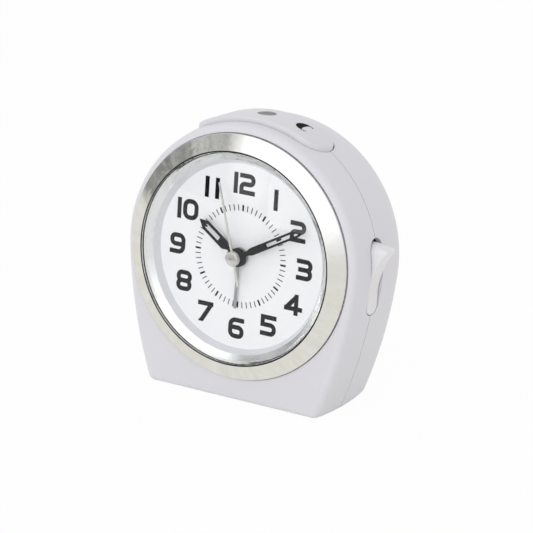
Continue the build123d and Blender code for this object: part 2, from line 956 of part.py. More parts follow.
# Black skeleton hour hand
with BuildPart() as hour_hand:
    hour_outline, hour_window = skeleton_hand(
        hour_hand_length,
        hour_hand_width,
        hour_neck_width,
        hour_neck_end,
        hour_shoulder,
        hour_window_start,
        hour_window_end,
        hour_rail,
        hour_point_start,
    )
    extrude(
        hand_blade(hand_plane(hour_hand_lift, hour_hand_angle), hour_outline, hour_window),
        amount=hand_thickness,
    )
    hand_hub(hour_hand_lift, hour_tube_radius + fit_gap)
finish(hour_hand, "hour_hand")

# Black skeleton minute hand
with BuildPart() as minute_hand:
    minute_outline, minute_window = skeleton_hand(
        minute_hand_length,
        minute_hand_width,
        minute_neck_width,
        minute_neck_end,
        minute_shoulder,
        minute_window_start,
        minute_window_end,
        minute_rail,
        minute_point_start,
    )
    extrude(
        hand_blade(hand_plane(minute_hand_lift, minute_hand_angle), minute_outline, minute_window),
        amount=hand_thickness,
    )
    hand_hub(minute_hand_lift, minute_tube_radius + fit_gap)
finish(minute_hand, "minute_hand")

# Silver second hand with its tail and round cap
second_back = dial_depth - second_hand_lift
second_arbor_front = second_back - cap_height / 2
with BuildPart() as second_hand:
    with BuildSketch(hand_plane(second_hand_lift, second_hand_angle)):
        with BuildLine():
            Polyline(
                (-second_tail_width / 2, -second_hand_tail),
                (second_tail_width / 2, -second_hand_tail),
                (second_hand_width / 2, second_hand_length),
                (-second_hand_width / 2, second_hand_length),
                close=True,
            )
        make_face()
    extrude(amount=hand_thickness)
    rod(HAND_PLACE, cap_radius, second_back - cap_height, second_back)
    fillet(second_hand.faces().sort_by(HAND_AXIS)[-1].edges(), cap_round)
    rod(HAND_PLACE, second_arbor_radius + fit_gap, second_arbor_front, second_back, mode=Mode.SUBTRACT)
finish(second_hand, "second_hand")

# Hand tubes and wheels of the movement, from the dial inwards
alarm_tube_front = dial_depth - alarm_hand_lift - hand_thickness
hour_tube_front = dial_depth - hour_hand_lift - hand_thickness
minute_tube_front = dial_depth - minute_hand_lift - hand_thickness
alarm_start = floor_depth + alarm_layer
hour_start = floor_depth + hour_layer
motion_start = floor_depth + motion_layer
centre_start = floor_depth + centre_layer
third_start = floor_depth + third_layer
bridge_start = floor_depth + bridge_layer
second_start = floor_depth + second_layer
fifth_start = floor_depth + fifth_layer
bridge_back = bridge_start + bridge_thickness
pinion_lead = (pinion_thickness - wheel_thickness) / 2

with BuildPart() as alarm_wheel:
    gear(HAND_PLACE, alarm_start, wheel_thickness, alarm_module, alarm_teeth, alarm_set_direction)
    rod(HAND_PLACE, alarm_tube_radius, alarm_tube_front, alarm_start + wheel_thickness)
    rod(HAND_PLACE, alarm_tube_bore, alarm_tube_front, alarm_start + wheel_thickness, mode=Mode.SUBTRACT)
finish(alarm_wheel, "alarm_wheel")

with BuildPart() as hour_wheel:
    gear(HAND_PLACE, hour_start, wheel_thickness, hour_module, hour_teeth, motion_direction)
    rod(HAND_PLACE, hour_tube_radius, hour_tube_front, hour_start + wheel_thickness)
    rod(HAND_PLACE, hour_tube_bore, hour_tube_front, hour_start + wheel_thickness, mode=Mode.SUBTRACT)
finish(hour_wheel, "hour_wheel")

# Cannon pinion on the minute tube; the centre wheel slips on it under a spring washer
washer_start = centre_start + wheel_thickness + fit_gap
minute_tube_back = washer_start + washer_thickness
with BuildPart() as minute_arbor:
    gear(
        HAND_PLACE,
        motion_start - pinion_lead,
        pinion_thickness,
        motion_module,
        cannon_teeth,
        motion_direction,
    )
    rod(HAND_PLACE, minute_tube_radius, minute_tube_front, minute_tube_back)
    rod(HAND_PLACE, minute_tube_bore, minute_tube_front, minute_tube_back, mode=Mode.SUBTRACT)
finish(minute_arbor, "minute_arbor")

with BuildPart() as centre_wheel:
    gear(HAND_PLACE, centre_start, wheel_thickness, centre_module, centre_teeth, third_direction)
    rod(
        HAND_PLACE,
        minute_tube_radius + bearing_gap,
        centre_start,
        centre_start + wheel_thickness,
        mode=Mode.SUBTRACT,
    )
finish(centre_wheel, "centre_wheel")

with BuildPart() as clutch_washer:
    rod(HAND_PLACE, washer_radius, washer_start, minute_tube_back)
    rod(HAND_PLACE, minute_tube_radius, washer_start, minute_tube_back, mode=Mode.SUBTRACT)
finish(clutch_washer, "clutch_washer")

# Motion wheel and its pinion turn on a stud of the movement plate
motion_turn = facing_turn(motion_teeth, motion_direction)
with BuildPart() as motion_wheel:
    gear(motion_place, motion_start, wheel_thickness, motion_module, motion_teeth, motion_turn)
    gear(
        motion_place,
        hour_start - pinion_lead,
        motion_start - hour_start + pinion_lead,
        hour_module,
        motion_pinion_teeth,
        facing_turn(motion_pinion_teeth, motion_direction),
    )
    rod(
        motion_place,
        stud_radius + bearing_gap,
        hour_start - overrun,
        motion_start + wheel_thickness + overrun,
        mode=Mode.SUBTRACT,
    )
finish(motion_wheel, "motion_wheel")

# Third wheel between the second arbor and the centre wheel
with BuildPart() as third_wheel:
    gear(third_place, third_start, wheel_thickness, third_module, third_teeth, third_direction + 180)
    gear(
        third_place,
        centre_start - pinion_lead,
        third_start - centre_start + pinion_lead,
        centre_module,
        third_pinion_teeth,
        facing_turn(third_pinion_teeth, third_direction),
    )
    rod(third_place, arbor_radius, centre_start - pinion_lead - pivot_depth, cover_depth + pivot_depth)
finish(third_wheel, "third_wheel")

# Second arbor, from the cap through the minute tube to the cover, with its pinion and wheel
with BuildPart() as second_wheel:
    rod(HAND_PLACE, second_arbor_radius, second_arbor_front, cover_depth + pivot_depth)
    gear(
        HAND_PLACE,
        third_start - pinion_lead,
        pinion_thickness,
        third_module,
        second_pinion_teeth,
        facing_turn(second_pinion_teeth, third_direction + 180),
    )
    gear(HAND_PLACE, second_start, wheel_thickness, second_module, second_teeth, fifth_direction)
finish(second_wheel, "second_wheel")

# Fifth wheel between the rotor and the second wheel
with BuildPart() as fifth_wheel:
    rod(fifth_place, arbor_radius, bridge_start, cover_depth + pivot_depth)
    gear(
        fifth_place,
        second_start - pinion_lead,
        fifth_start - second_start + pinion_lead,
        second_module,
        fifth_pinion_teeth,
        facing_turn(fifth_pinion_teeth, fifth_direction),
    )
    gear(fifth_place, fifth_start, wheel_thickness, motor_module, fifth_teeth, rotor_direction)
finish(fifth_wheel, "fifth_wheel")

# Rotor: a small magnet and pinion on one arbor
magnet_start = bridge_back + bearing_gap * 2
with BuildPart() as rotor:
    rod(rotor_place, arbor_radius, bridge_start, cover_depth + pivot_depth)
    rod(rotor_place, magnet_radius, magnet_start, magnet_start + magnet_height)
    gear(
        rotor_place,
        fifth_start - pinion_lead,
        pinion_thickness,
        motor_module,
        rotor_pinion_teeth,
        facing_turn(rotor_pinion_teeth, rotor_direction),
    )
finish(rotor, "rotor")

# Stator frame round the rotor, whose far bar is the core of the coil
stator_end = bridge_back + stator_thickness
core_place = rotor_place[1] - coil_distance
with BuildPart() as stator:
    slab(
        -stator_half_width,
        stator_half_width,
        core_place - stator_bar / 2,
        rotor_place[1] + stator_bar / 2,
        bridge_back,
        stator_end,
    )
    slab(
        -stator_half_width + stator_bar,
        stator_half_width - stator_bar,
        core_place + stator_bar / 2,
        rotor_place[1] - stator_bar / 2,
        bridge_back,
        stator_end,
        mode=Mode.SUBTRACT,
    )
    rod(rotor_place, stator_ring_radius, bridge_back, stator_end)
    rod(rotor_place, magnet_radius + stator_gap, bridge_back, stator_end, mode=Mode.SUBTRACT)
finish(stator, "stator")

# Coil: bobbin on the stator's core, and its winding
coil_depth = (bridge_back + stator_end) / 2
coil_axis = Plane(
    origin=FACE.from_local_coords(Vector(-bobbin_length / 2, core_place, -coil_depth)),
    x_dir=-FACE.z_dir,
    z_dir=FACE.x_dir,
)
with BuildPart(coil_axis) as coil_bobbin:
    Cylinder(bobbin_core_radius, bobbin_length, align=(Align.CENTER, Align.CENTER, Align.MIN))
    for start in (0, bobbin_length - bobbin_flange):
        with Locations((0, 0, start)):
            Cylinder(bobbin_flange_radius, bobbin_flange, align=(Align.CENTER, Align.CENTER, Align.MIN))
    Box(
        stator_thickness + 2 * fit_gap,
        stator_bar + 2 * fit_gap,
        bobbin_length,
        align=(Align.CENTER, Align.CENTER, Align.MIN),
        mode=Mode.SUBTRACT,
    )
finish(coil_bobbin, "coil_bobbin")

with BuildPart(coil_axis.offset(bobbin_flange)) as coil_winding:
    winding_length = bobbin_length - 2 * bobbin_flange
    Cylinder(winding_radius, winding_length, align=(Align.CENTER, Align.CENTER, Align.MIN))
    Cylinder(
        bobbin_core_radius,
        winding_length,
        align=(Align.CENTER, Align.CENTER, Align.MIN),
        mode=Mode.SUBTRACT,
    )
finish(coil_winding, "coil_winding")

# Movement plate: a tray with the hand bush, stud, posts and screw pillars
corner_places = [
    (side * (movement_half_width - corner_inset), level)
    for side in (1, -1)
    for level in (movement_top - corner_inset, corner_inset - movement_bottom)
]
set_start = motion_start
third_pivot_start = centre_start - pinion_lead - pivot_depth
with BuildPart() as movement_plate:
    slab(
        -movement_half_width,
        movement_half_width,
        -movement_bottom,
        movement_top,
        seat_back,
        cover_depth,
    )
    slab(
        -movement_half_width + plate_wall,
        movement_half_width - plate_wall,
        -movement_bottom + plate_wall,
        movement_top - plate_wall,
        floor_depth,
        cover_depth,
        mode=Mode.SUBTRACT,
    )
    rod(HAND_PLACE, bush_radius, dial_depth, seat_back)
    rod(HAND_PLACE, bush_bore, dial_depth - overrun, floor_depth, mode=Mode.SUBTRACT)
    rod(motion_place, stud_radius, floor_depth, motion_start + wheel_thickness)
    rod(third_place, post_radius, floor_depth, centre_start - pinion_lead - bearing_gap * 2)
    rod(
        third_place,
        arbor_radius + bearing_gap,
        third_pivot_start - bearing_gap,
        centre_start,
        mode=Mode.SUBTRACT,
    )
    rod(set_place, post_radius, floor_depth, set_start - bearing_gap * 2)
    rod(
        set_place,
        set_pivot_radius + bearing_gap,
        set_start - pivot_depth - bearing_gap,
        set_start,
        mode=Mode.SUBTRACT,
    )
    rod(
        alarm_set_place,
        set_pivot_radius + bearing_gap,
        alarm_start - pivot_depth - bearing_gap,
        alarm_start,
        mode=Mode.SUBTRACT,
    )
    for place in corner_places:
        rod(place, corner_post_radius, floor_depth, cover_depth)
        rod(
            place,
            movement_screw_radius + fit_gap,
            cover_depth - movement_screw_length,
            cover_depth,
            mode=Mode.SUBTRACT,
        )
finish(movement_plate, "movement_plate")

# Bridge across the tray that carries the motor and the middle of the train
bridge_half_width = movement_half_width - plate_wall
bridge_low = core_place + bobbin_flange_radius + running_gap
bridge_high = third_place[1] + post_radius * 2
with BuildPart() as train_bridge:
    slab(-bridge_half_width, bridge_half_width, bridge_low, bridge_high, bridge_start, bridge_back)
    for place, radius in (
        (HAND_PLACE, second_arbor_radius),
        (third_place, arbor_radius),
        (fifth_place, arbor_radius),
        (rotor_place, arbor_radius),
        (set_place, set_shaft_radius),
        (alarm_set_place, set_shaft_radius),
    ):
        rod(place, radius + bearing_gap, bridge_start - overrun, bridge_back + overrun, mode=Mode.SUBTRACT)
finish(train_bridge, "train_bridge")

# Movement cover with pivot holes, shaft holes and standoffs for the board
board_start = movement_back + board_standoff
standoff_places = [
    (side * (board_half_width - standoff_radius), level)
    for side in (1, -1)
    for level in (board_low + standoff_radius, board_high - standoff_radius)
]
with BuildPart() as movement_cover:
    slab(
        -movement_half_width,
        movement_half_width,
        -movement_bottom,
        movement_top,
        cover_depth,
        movement_back,
    )
    for place, radius in (
        (HAND_PLACE, second_arbor_radius),
        (third_place, arbor_radius),
        (fifth_place, arbor_radius),
        (rotor_place, arbor_radius),
    ):
        pivot_end = cover_depth + pivot_depth + bearing_gap
        rod(place, radius + bearing_gap, cover_depth - overrun, pivot_end, mode=Mode.SUBTRACT)
    for place in (set_place, alarm_set_place):
        rod(place, set_shaft_radius + bearing_gap, cover_depth, movement_back, mode=Mode.SUBTRACT)
    for place in standoff_places:
        rod(place, standoff_radius, movement_back, board_start)
    for place in corner_places:
        rod(place, movement_screw_radius + fit_gap, cover_depth, movement_back, mode=Mode.SUBTRACT)
finish(movement_cover, "movement_cover")


def cross_slot(place, start):
    """Two crossed slots in a screw head that looks backwards."""
    for length, width in ((cross_length, cross_width), (cross_width, cross_length)):
        with Locations(face_spot(*place, start)):
            Box(length, width, 2 * cross_depth, mode=Mode.SUBTRACT)


# Screws of the movement's cover, beside the board
with BuildPart() as movement_screws:
    head_end = movement_back + movement_screw_head_height
    for place in corner_places:
        rod(place, movement_screw_head, movement_back, head_end)
        rod(place, movement_screw_radius, cover_depth - movement_screw_length, movement_back)
        cross_slot(place, head_end)
finish(movement_screws, "movement_screws")

# Setting shafts with their gears, and the fluted knobs on the back
knob_start = case_depth + knob_gap
knob_end = knob_start + knob_height


def setting_shaft(place, start, module, teeth, turn):
    """Gear on a shaft that runs out through the back, with a front pivot."""
    gear(place, start, wheel_thickness, module, teeth, turn)
    rod(place, set_pivot_radius, start - pivot_depth, start)
    rod(place, set_shaft_radius, start + wheel_thickness, knob_start + knob_socket)


def setting_knob(place):
    """Fluted round knob with a blind socket for its shaft."""
    rod(place, knob_radius, knob_start, knob_end)
    with Locations(face_spot(*place, knob_start)):
        with PolarLocations(knob_radius, knob_flutes):
            Cylinder(knob_flute_radius, knob_height, align=REARWARD, mode=Mode.SUBTRACT)
    rod(place, set_shaft_radius, knob_start, knob_start + knob_socket, mode=Mode.SUBTRACT)


set_turn = following_turn(motion_turn, motion_teeth, set_teeth, set_direction)
with BuildPart() as time_set_shaft:
    setting_shaft(set_place, set_start, motion_module, set_teeth, set_turn)
finish(time_set_shaft, "time_set_shaft")

with BuildPart() as alarm_set_shaft:
    alarm_set_turn = facing_turn(alarm_set_teeth, alarm_set_direction)
    setting_shaft(alarm_set_place, alarm_start, alarm_module, alarm_set_teeth, alarm_set_turn)
finish(alarm_set_shaft, "alarm_set_shaft")

with BuildPart() as time_set_knob:
    setting_knob(set_place)
finish(time_set_knob, "time_set_knob")

with BuildPart() as alarm_set_knob:
    setting_knob(alarm_set_place)
finish(alarm_set_knob, "alarm_set_knob")

# Contact leaf on the plate, beside the alarm wheel
with BuildPart() as alarm_contact:
    slab(
        -leaf_length / 2,
        leaf_length / 2,
        -leaf_distance,
        -leaf_distance + leaf_thickness,
        floor_depth,
        floor_depth + leaf_height,
    )
finish(alarm_contact, "alarm_contact")

# Circuit board with its chip and quartz can
board_end = board_start + board_thickness
board_middle = (board_low + board_high) / 2
with BuildPart() as circuit_board:
    slab(-board_half_width, board_half_width, board_low, board_high, board_start, board_end)
finish(circuit_board, "circuit_board")

with BuildPart() as chip:
    rod((chip_place, board_middle), chip_radius, board_end, board_end + chip_height)
    fillet(chip.faces().sort_by(HAND_AXIS)[0].edges(), chip_height / 2)
finish(chip, "chip")

with BuildPart() as quartz_can:
    with Locations(face_spot(quartz_place, board_middle, board_end + quartz_radius)):
        Cylinder(quartz_radius, quartz_length, rotation=(0, 90, 0))
finish(quartz_can, "quartz_can")

# Sounder glued to its seat on the back wall
buzzer_end = back_inside - wall / 2
with BuildPart() as buzzer:
    rod((0, buzzer_above), buzzer_radius, buzzer_end - buzzer_height, buzzer_end)
    fillet(buzzer.faces().sort_by(HAND_AXIS)[-1].edges(), buzzer_round)
    rod(
        (0, buzzer_above),
        buzzer_port_radius,
        buzzer_end - buzzer_height / 2,
        buzzer_end,
        mode=Mode.SUBTRACT,
    )
finish(buzzer, "buzzer")

# Snooze bar on the crown, with a flange under the case, a press post and two guide pins
plunger_top = top_board_height + snooze_switch_height + snooze_plunger_height
press_post_end = plunger_top + snooze_travel + bearing_gap * 2
with BuildPart() as snooze_bar:
    add(crown_shell(0, snooze_root_radius, snooze_radius))
    fillet(snooze_bar.faces().sort_by(UPWARD)[-1].edges(), snooze_round)
    add(crown_shell(flange_width, flange_radius, snooze_root_radius))
    with BuildSketch(CROWN.offset(press_post_end)):
        with Locations((snooze_switch_place, parting_depth)):
            Circle(press_post_radius)
    extrude(amount=snooze_root_radius - press_post_end - wall / 2)
    pin_top = sqrt(flange_radius**2 - spring_place**2)
    with BuildSketch(CROWN.offset(pin_top - guide_pin_length)):
        with Locations((spring_place, parting_depth), (-spring_place, parting_depth)):
            Circle(guide_pin_radius)
    extrude(amount=guide_pin_length + wall / 2)
    with BuildSketch(CROWN.offset(top_board_height)):
        with Locations((0, parting_depth)):
            Circle(window_radius + fit_gap)
    extrude(amount=snooze_radius, mode=Mode.SUBTRACT)
finish(snooze_bar, "snooze_bar")

# Grey window for the light sensor, a short light pipe through the bar
window_top = sqrt(snooze_radius**2 - window_radius**2) - window_sink
with BuildPart(CROWN.offset(flange_radius)) as sensor_window:
    with Locations((0, parting_depth)):
        Cylinder(window_radius, window_top - flange_radius, align=(Align.CENTER, Align.CENTER, Align.MIN))
    fillet(sensor_window.faces().sort_by(UPWARD)[-1].edges(), window_round)
finish(sensor_window, "sensor_window")

# Board under the snooze bar, with the press switch, light sensor and return springs
ON_BOARD = (Align.CENTER, Align.CENTER, Align.MIN)
with BuildPart(CROWN.offset(top_board_low)) as top_board:
    with Locations((0, parting_depth)):
        Box(2 * top_board_half_width, top_board_width, board_thickness, align=ON_BOARD)
finish(top_board, "top_board")

with BuildPart(CROWN.offset(top_board_height)) as snooze_switch:
    with Locations((snooze_switch_place, parting_depth)):
        Box(snooze_switch_size, snooze_switch_size, snooze_switch_height, align=ON_BOARD)
    with Locations((snooze_switch_place, parting_depth, snooze_switch_height)):
        Cylinder(snooze_plunger_radius, snooze_plunger_height, align=ON_BOARD)
finish(snooze_switch, "snooze_switch")

with BuildPart(CROWN.offset(top_board_height)) as light_sensor:
    with Locations((0, parting_depth)):
        Box(sensor_size, sensor_size, sensor_height, align=ON_BOARD)
        with Locations((0, 0, sensor_height)):
            Sphere(sensor_size / 2 - wall / 2, arc_size1=0)
finish(light_sensor, "light_sensor")


def coil_spring(radius, wire, length, turns):
    """Round-wire spring that stands on the origin, one tube from end to end."""
    with BuildPart() as spring:
        with BuildLine() as path:
            Helix(pitch=(length - wire) / turns, height=length - wire, radius=radius)
        with BuildSketch(Plane(origin=path.line @ 0, z_dir=path.line % 0)):
            Circle(wire / 2)
        sweep(is_frenet=True)
    return spring.part


# Return springs of the snooze bar, between the board and the bar's flange
spring_edge = spring_place + spring_radius + spring_wire
spring_length = sqrt(flange_radius**2 - spring_edge**2) - top_board_height
with BuildPart() as snooze_springs:
    for side in (1, -1):
        with Locations(CROWN * Pos(side * spring_place, parting_depth, top_board_height + spring_wire / 2)):
            add(coil_spring(spring_radius, spring_wire, spring_length, spring_turns))
finish(snooze_springs, "snooze_springs")

# Alarm slide: a fin that rises to a tip and has a small grip bump, on a flange behind the flank wall
slide_low_share = 0.5
slide_rise_share = 0.25
slide_bump_share = 0.62
fin_outline = [
    (slide_flange_reach, -slide_bottom),
    (parting_radius - wall / 2, -slide_bottom),
    (parting_radius - wall / 2, -slide_bottom * slide_low_share),
    (parting_radius + wall / 2, slide_tip_height * slide_rise_share),
    (slide_tip_reach, slide_tip_height),
    (parting_radius - wall, slide_top),
    (slide_flange_reach, slide_top),
]
with BuildPart() as alarm_switch:
    extrude(
        slide_stadium(slide_flange_reach, slide_top, slide_bottom, slide_width),
        amount=slide_tip_reach - slide_flange_reach,
    )
    with BuildSketch(FACE):
        with BuildLine():
            Polyline(*fin_outline[:3])
            ridge = Spline(*fin_outline[2:5], tangents=[(0, 1), (1, 1)])
            Polyline(*fin_outline[4:], fin_outline[0])
        make_face()
    extrude(amount=-case_depth, mode=Mode.INTERSECT)
    fin_edges = alarm_switch.edges().filter_by(lambda edge: edge.center().X > parting_radius - wall)
    fillet(fin_edges, slide_round)
    bump_place = ridge @ slide_bump_share
    with Locations(face_spot(bump_place.X - slide_bump_radius / 2, bump_place.Y, parting_depth)):
        Sphere(slide_bump_radius)
    slab(
        slide_flange_reach,
        slide_slot_start,
        -slide_flange_bottom,
        slide_flange_top,
        parting_depth - slide_flange_width / 2,
        parting_depth + slide_flange_width / 2,
    )
    slab(
        switch_reach,
        slide_flange_reach,
        tongue_place - tongue_width / 2,
        tongue_place + tongue_width / 2,
        parting_depth - tongue_width / 2,
        parting_depth + tongue_width / 2,
    )
finish(alarm_switch, "alarm_switch")

# Switch that the slide's tongue works, on a bracket of the front shell
with BuildPart() as slide_switch:
    slab(
        switch_back,
        switch_reach + switch_slot_depth,
        tongue_place - switch_half_height,
        tongue_place + switch_half_height,
        parting_depth - switch_width / 2,
        parting_depth + switch_width / 2,
    )
    slab(
        switch_reach - running_gap,
        switch_reach + switch_slot_depth,
        tongue_place - tongue_width / 2 - running_gap,
        tongue_place + tongue_width / 2 + slide_travel + running_gap,
        parting_depth - tongue_width / 2 - running_gap,
        parting_depth + tongue_width / 2 + running_gap,
        mode=Mode.SUBTRACT,
    )
finish(slide_switch, "slide_switch")

# Battery cell lying across the bay, its contact plate and its spring
cell_depth = bay_front + cell_radius + bay_gap
plate_inner = -bay_inner_x + contact_thickness
cell_left = plate_inner + cell_nub_length
cell_axis = Plane(
    origin=FACE.from_local_coords(Vector(cell_left, -bay_height, -cell_depth)),
    x_dir=-FACE.z_dir,
    z_dir=FACE.x_dir,
)
with BuildPart(cell_axis) as battery_cell:
    body_length = cell_length - cell_nub_length
    Cylinder(cell_radius, body_length, align=ON_BOARD)
    fillet(battery_cell.edges().filter_by(GeomType.CIRCLE), cell_nub_length / 2)
    with Locations((0, 0, -cell_nub_length)):
        Cylinder(cell_nub_radius, cell_nub_length, align=ON_BOARD)
finish(battery_cell, "battery_cell")

with BuildPart() as battery_plate:
    slab(
        -bay_inner_x,
        plate_inner,
        -bay_height - contact_half_height,
        -bay_height + contact_half_height,
        cell_depth - contact_half_height,
        cell_depth + contact_half_height,
    )
finish(battery_plate, "battery_plate")

cell_right = cell_left + body_length
cell_spring_room = bay_inner_x - contact_thickness - cell_right
with BuildPart() as spring_foot:
    slab(
        bay_inner_x - contact_thickness,
        bay_inner_x,
        -bay_height - contact_half_height,
        -bay_height + contact_half_height,
        cell_depth - contact_half_height,
        cell_depth + contact_half_height,
    )
with BuildPart() as battery_spring:
    add(spring_foot.part)
    with Locations(FLANK * Pos(cell_depth, -bay_height, cell_right + fit_gap + cell_spring_wire / 2)):
        add(coil_spring(cell_spring_radius, cell_spring_wire, cell_spring_room, cell_spring_turns))
finish(battery_spring, "battery_spring")

# Screws that pull the rear shell onto the front one
screw_head_end = case_depth - screw_well
with BuildPart() as case_screws:
    for place in screw_places:
        rod(place, screw_head_radius, screw_head_end, screw_head_end + screw_head_height)
        rod(place, screw_radius, screw_boss_meet - screw_bite, screw_head_end)
        cross_slot(place, screw_head_end + screw_head_height)
finish(case_screws, "case_screws")
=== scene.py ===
"""Looks of a bedside quartz alarm clock: its finishes, its print and a plain studio round it.

Lengths are in metres in the CAD frame, and a name that ends in mm holds millimetres. +Z is up,
the dial looks along -Y and leans back a little, and the origin is the middle of the flat base.
"""

import math

import bpy
import numpy as np
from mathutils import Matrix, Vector


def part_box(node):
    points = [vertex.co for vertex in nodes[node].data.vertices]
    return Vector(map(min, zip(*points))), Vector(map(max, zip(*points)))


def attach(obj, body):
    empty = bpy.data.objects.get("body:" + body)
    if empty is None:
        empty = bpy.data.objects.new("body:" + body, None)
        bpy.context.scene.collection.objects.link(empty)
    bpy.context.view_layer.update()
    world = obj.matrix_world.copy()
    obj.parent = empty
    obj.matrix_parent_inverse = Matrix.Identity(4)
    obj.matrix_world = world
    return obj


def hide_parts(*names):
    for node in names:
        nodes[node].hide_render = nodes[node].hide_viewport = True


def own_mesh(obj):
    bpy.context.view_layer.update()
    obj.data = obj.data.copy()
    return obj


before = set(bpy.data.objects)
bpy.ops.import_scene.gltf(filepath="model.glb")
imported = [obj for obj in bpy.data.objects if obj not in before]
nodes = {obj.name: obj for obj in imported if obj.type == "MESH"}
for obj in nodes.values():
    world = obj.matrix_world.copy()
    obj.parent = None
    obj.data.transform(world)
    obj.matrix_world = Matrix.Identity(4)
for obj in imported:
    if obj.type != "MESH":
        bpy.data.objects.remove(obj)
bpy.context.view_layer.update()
bpy.context.scene.view_settings.view_transform = "Standard"

# Quartz movement: plates, bridge, wheels and setting shafts are moulded in natural acetal,
# a waxy off-white plastic, and clipped into the back of the front shell.
# Acetal comes out of a polished tool with a soft gloss and faint flow clouds.
MM = 0.001
noise_low, noise_high = 0.3, 0.7
plastic_gloss_spread = 0.05
mix_share, mix_first, mix_second, mix_result = 0, 6, 7, 2


def linear(colour):
    """sRGB hex colour as linear red, green, blue and alpha."""
    value = colour.lstrip("#")
    channels = np.array([int(value[i : i + 2], 16) for i in (0, 2, 4)]) / 255
    bent = np.where(channels <= 0.04045, channels / 12.92, ((channels + 0.055) / 1.055) ** 2.4)
    return (*bent.tolist(), 1.0)


def add_node(owner, kind, inputs=None, **settings):
    """Shader node with its settings; an input is a plain value or another node's output."""
    tree = owner.node_tree
    node = tree.nodes.new(kind)
    for name, value in settings.items():
        setattr(node, name, value)
    for name, value in (inputs or {}).items():
        if isinstance(value, bpy.types.NodeSocket):
            tree.links.new(value, node.inputs[name])
        else:
            node.inputs[name].default_value = value
    return node


def blank_material(name):
    """Material with an empty node tree."""
    material = bpy.data.materials.new(name)
    material.use_nodes = True
    material.node_tree.nodes.clear()
    return material


def moulded_plastic(name, pale, deep, cloud_mm, grain_mm, relief_mm, gloss, ior):
    """Moulded plastic: a slow cloud between two near colours, and a tool grain in gloss and relief."""
    material = blank_material(name)
    place = add_node(material, "ShaderNodeTexCoord").outputs["Object"]
    cloud = add_node(
        material,
        "ShaderNodeTexNoise",
        {"Vector": place, "Scale": 1 / (cloud_mm * MM), "Detail": 2.0},
    )
    tint = add_node(
        material,
        "ShaderNodeMix",
        {mix_share: cloud.outputs[0], mix_first: linear(pale), mix_second: linear(deep)},
        data_type="RGBA",
    )
    grain = add_node(
        material,
        "ShaderNodeTexNoise",
        {"Vector": place, "Scale": 1 / (grain_mm * MM), "Detail": 3.0, "Roughness": 0.6},
    )
    shine = add_node(
        material,
        "ShaderNodeMapRange",
        {
            "Value": grain.outputs[0],
            "From Min": noise_low,
            "From Max": noise_high,
            "To Min": gloss - plastic_gloss_spread,
            "To Max": gloss + plastic_gloss_spread,
        },
    )
    relief = add_node(
        material,
        "ShaderNodeBump",
        {"Height": grain.outputs[0], "Distance": relief_mm * MM},
    )
    shader = add_node(
        material,
        "ShaderNodeBsdfPrincipled",
        {
            "Base Color": tint.outputs[mix_result],
            "Roughness": shine.outputs[0],
            "Normal": relief.outputs[0],
            "IOR": ior,
        },
    )
    add_node(material, "ShaderNodeOutputMaterial", {"Surface": shader.outputs[0]})
    return material


def dress(material, *names):
    """Give these CAD nodes one material."""
    for name in names:
        nodes[name].data.materials.clear()
        nodes[name].data.materials.append(material)


acetal = moulded_plastic(
    "acetal_natural",
    "#E4E1D8",
    "#D9D5CA",
    cloud_mm=6.0,
    grain_mm=0.4,
    relief_mm=0.002,
    gloss=0.38,
    ior=1.48,
)
dress(acetal, "movement_plate", "movement_cover", "train_bridge", "coil_bobbin")
dress(acetal, "hour_wheel", "alarm_wheel", "motion_wheel", "third_wheel", "centre_wheel")
dress(acetal, "second_wheel", "fifth_wheel", "time_set_shaft", "alarm_set_shaft")

# Turned and stamped metal of the movement and the shells: brass arbor, washer and contact leaf,
# zinc-plated screws and springs, soft-iron stator and the quartz crystal's can.
# Fine parallel tool marks stretch the highlights along the cut.
metal_gloss_spread = 0.06


def worked_metal(name, bright, dull, mark_mm, run_mm, gloss):
    """Cut metal: marks that run along X and repeat across it, in colour and gloss."""
    material = blank_material(name)
    place = add_node(material, "ShaderNodeTexCoord").outputs["Object"]
    stretched = add_node(
        material,
        "ShaderNodeMapping",
        {"Vector": place, "Scale": (1 / (run_mm * MM), 1 / (mark_mm * MM), 1 / (mark_mm * MM))},
    )
    marks = add_node(
        material,
        "ShaderNodeTexNoise",
        {"Vector": stretched.outputs[0], "Scale": 1.0, "Detail": 3.0},
    )
    tint = add_node(
        material,
        "ShaderNodeMix",
        {mix_share: marks.outputs[0], mix_first: linear(bright), mix_second: linear(dull)},
        data_type="RGBA",
    )
    shine = add_node(
        material,
        "ShaderNodeMapRange",
        {
            "Value": marks.outputs[0],
            "From Min": noise_low,
            "From Max": noise_high,
            "To Min": gloss - metal_gloss_spread,
            "To Max": gloss + metal_gloss_spread,
        },
    )
    shader = add_node(
        material,
        "ShaderNodeBsdfPrincipled",
        {"Base Color": tint.outputs[mix_result], "Roughness": shine.outputs[0], "Metallic": 1.0},
    )
    add_node(material, "ShaderNodeOutputMaterial", {"Surface": shader.outputs[0]})
    return material


brass = worked_metal("brass_turned", "#D9B468", "#BF9444", mark_mm=0.2, run_mm=3.0, gloss=0.28)
dress(brass, "minute_arbor", "clutch_washer", "alarm_contact")
steel = worked_metal("steel_zinc_plated", "#C4C6C8", "#A3A6A9", mark_mm=0.2, run_mm=2.0, gloss=0.32)
dress(steel, "case_screws", "movement_screws", "snooze_springs", "battery_plate", "battery_spring")
dress(steel, "stator", "quartz_can", "rotor")

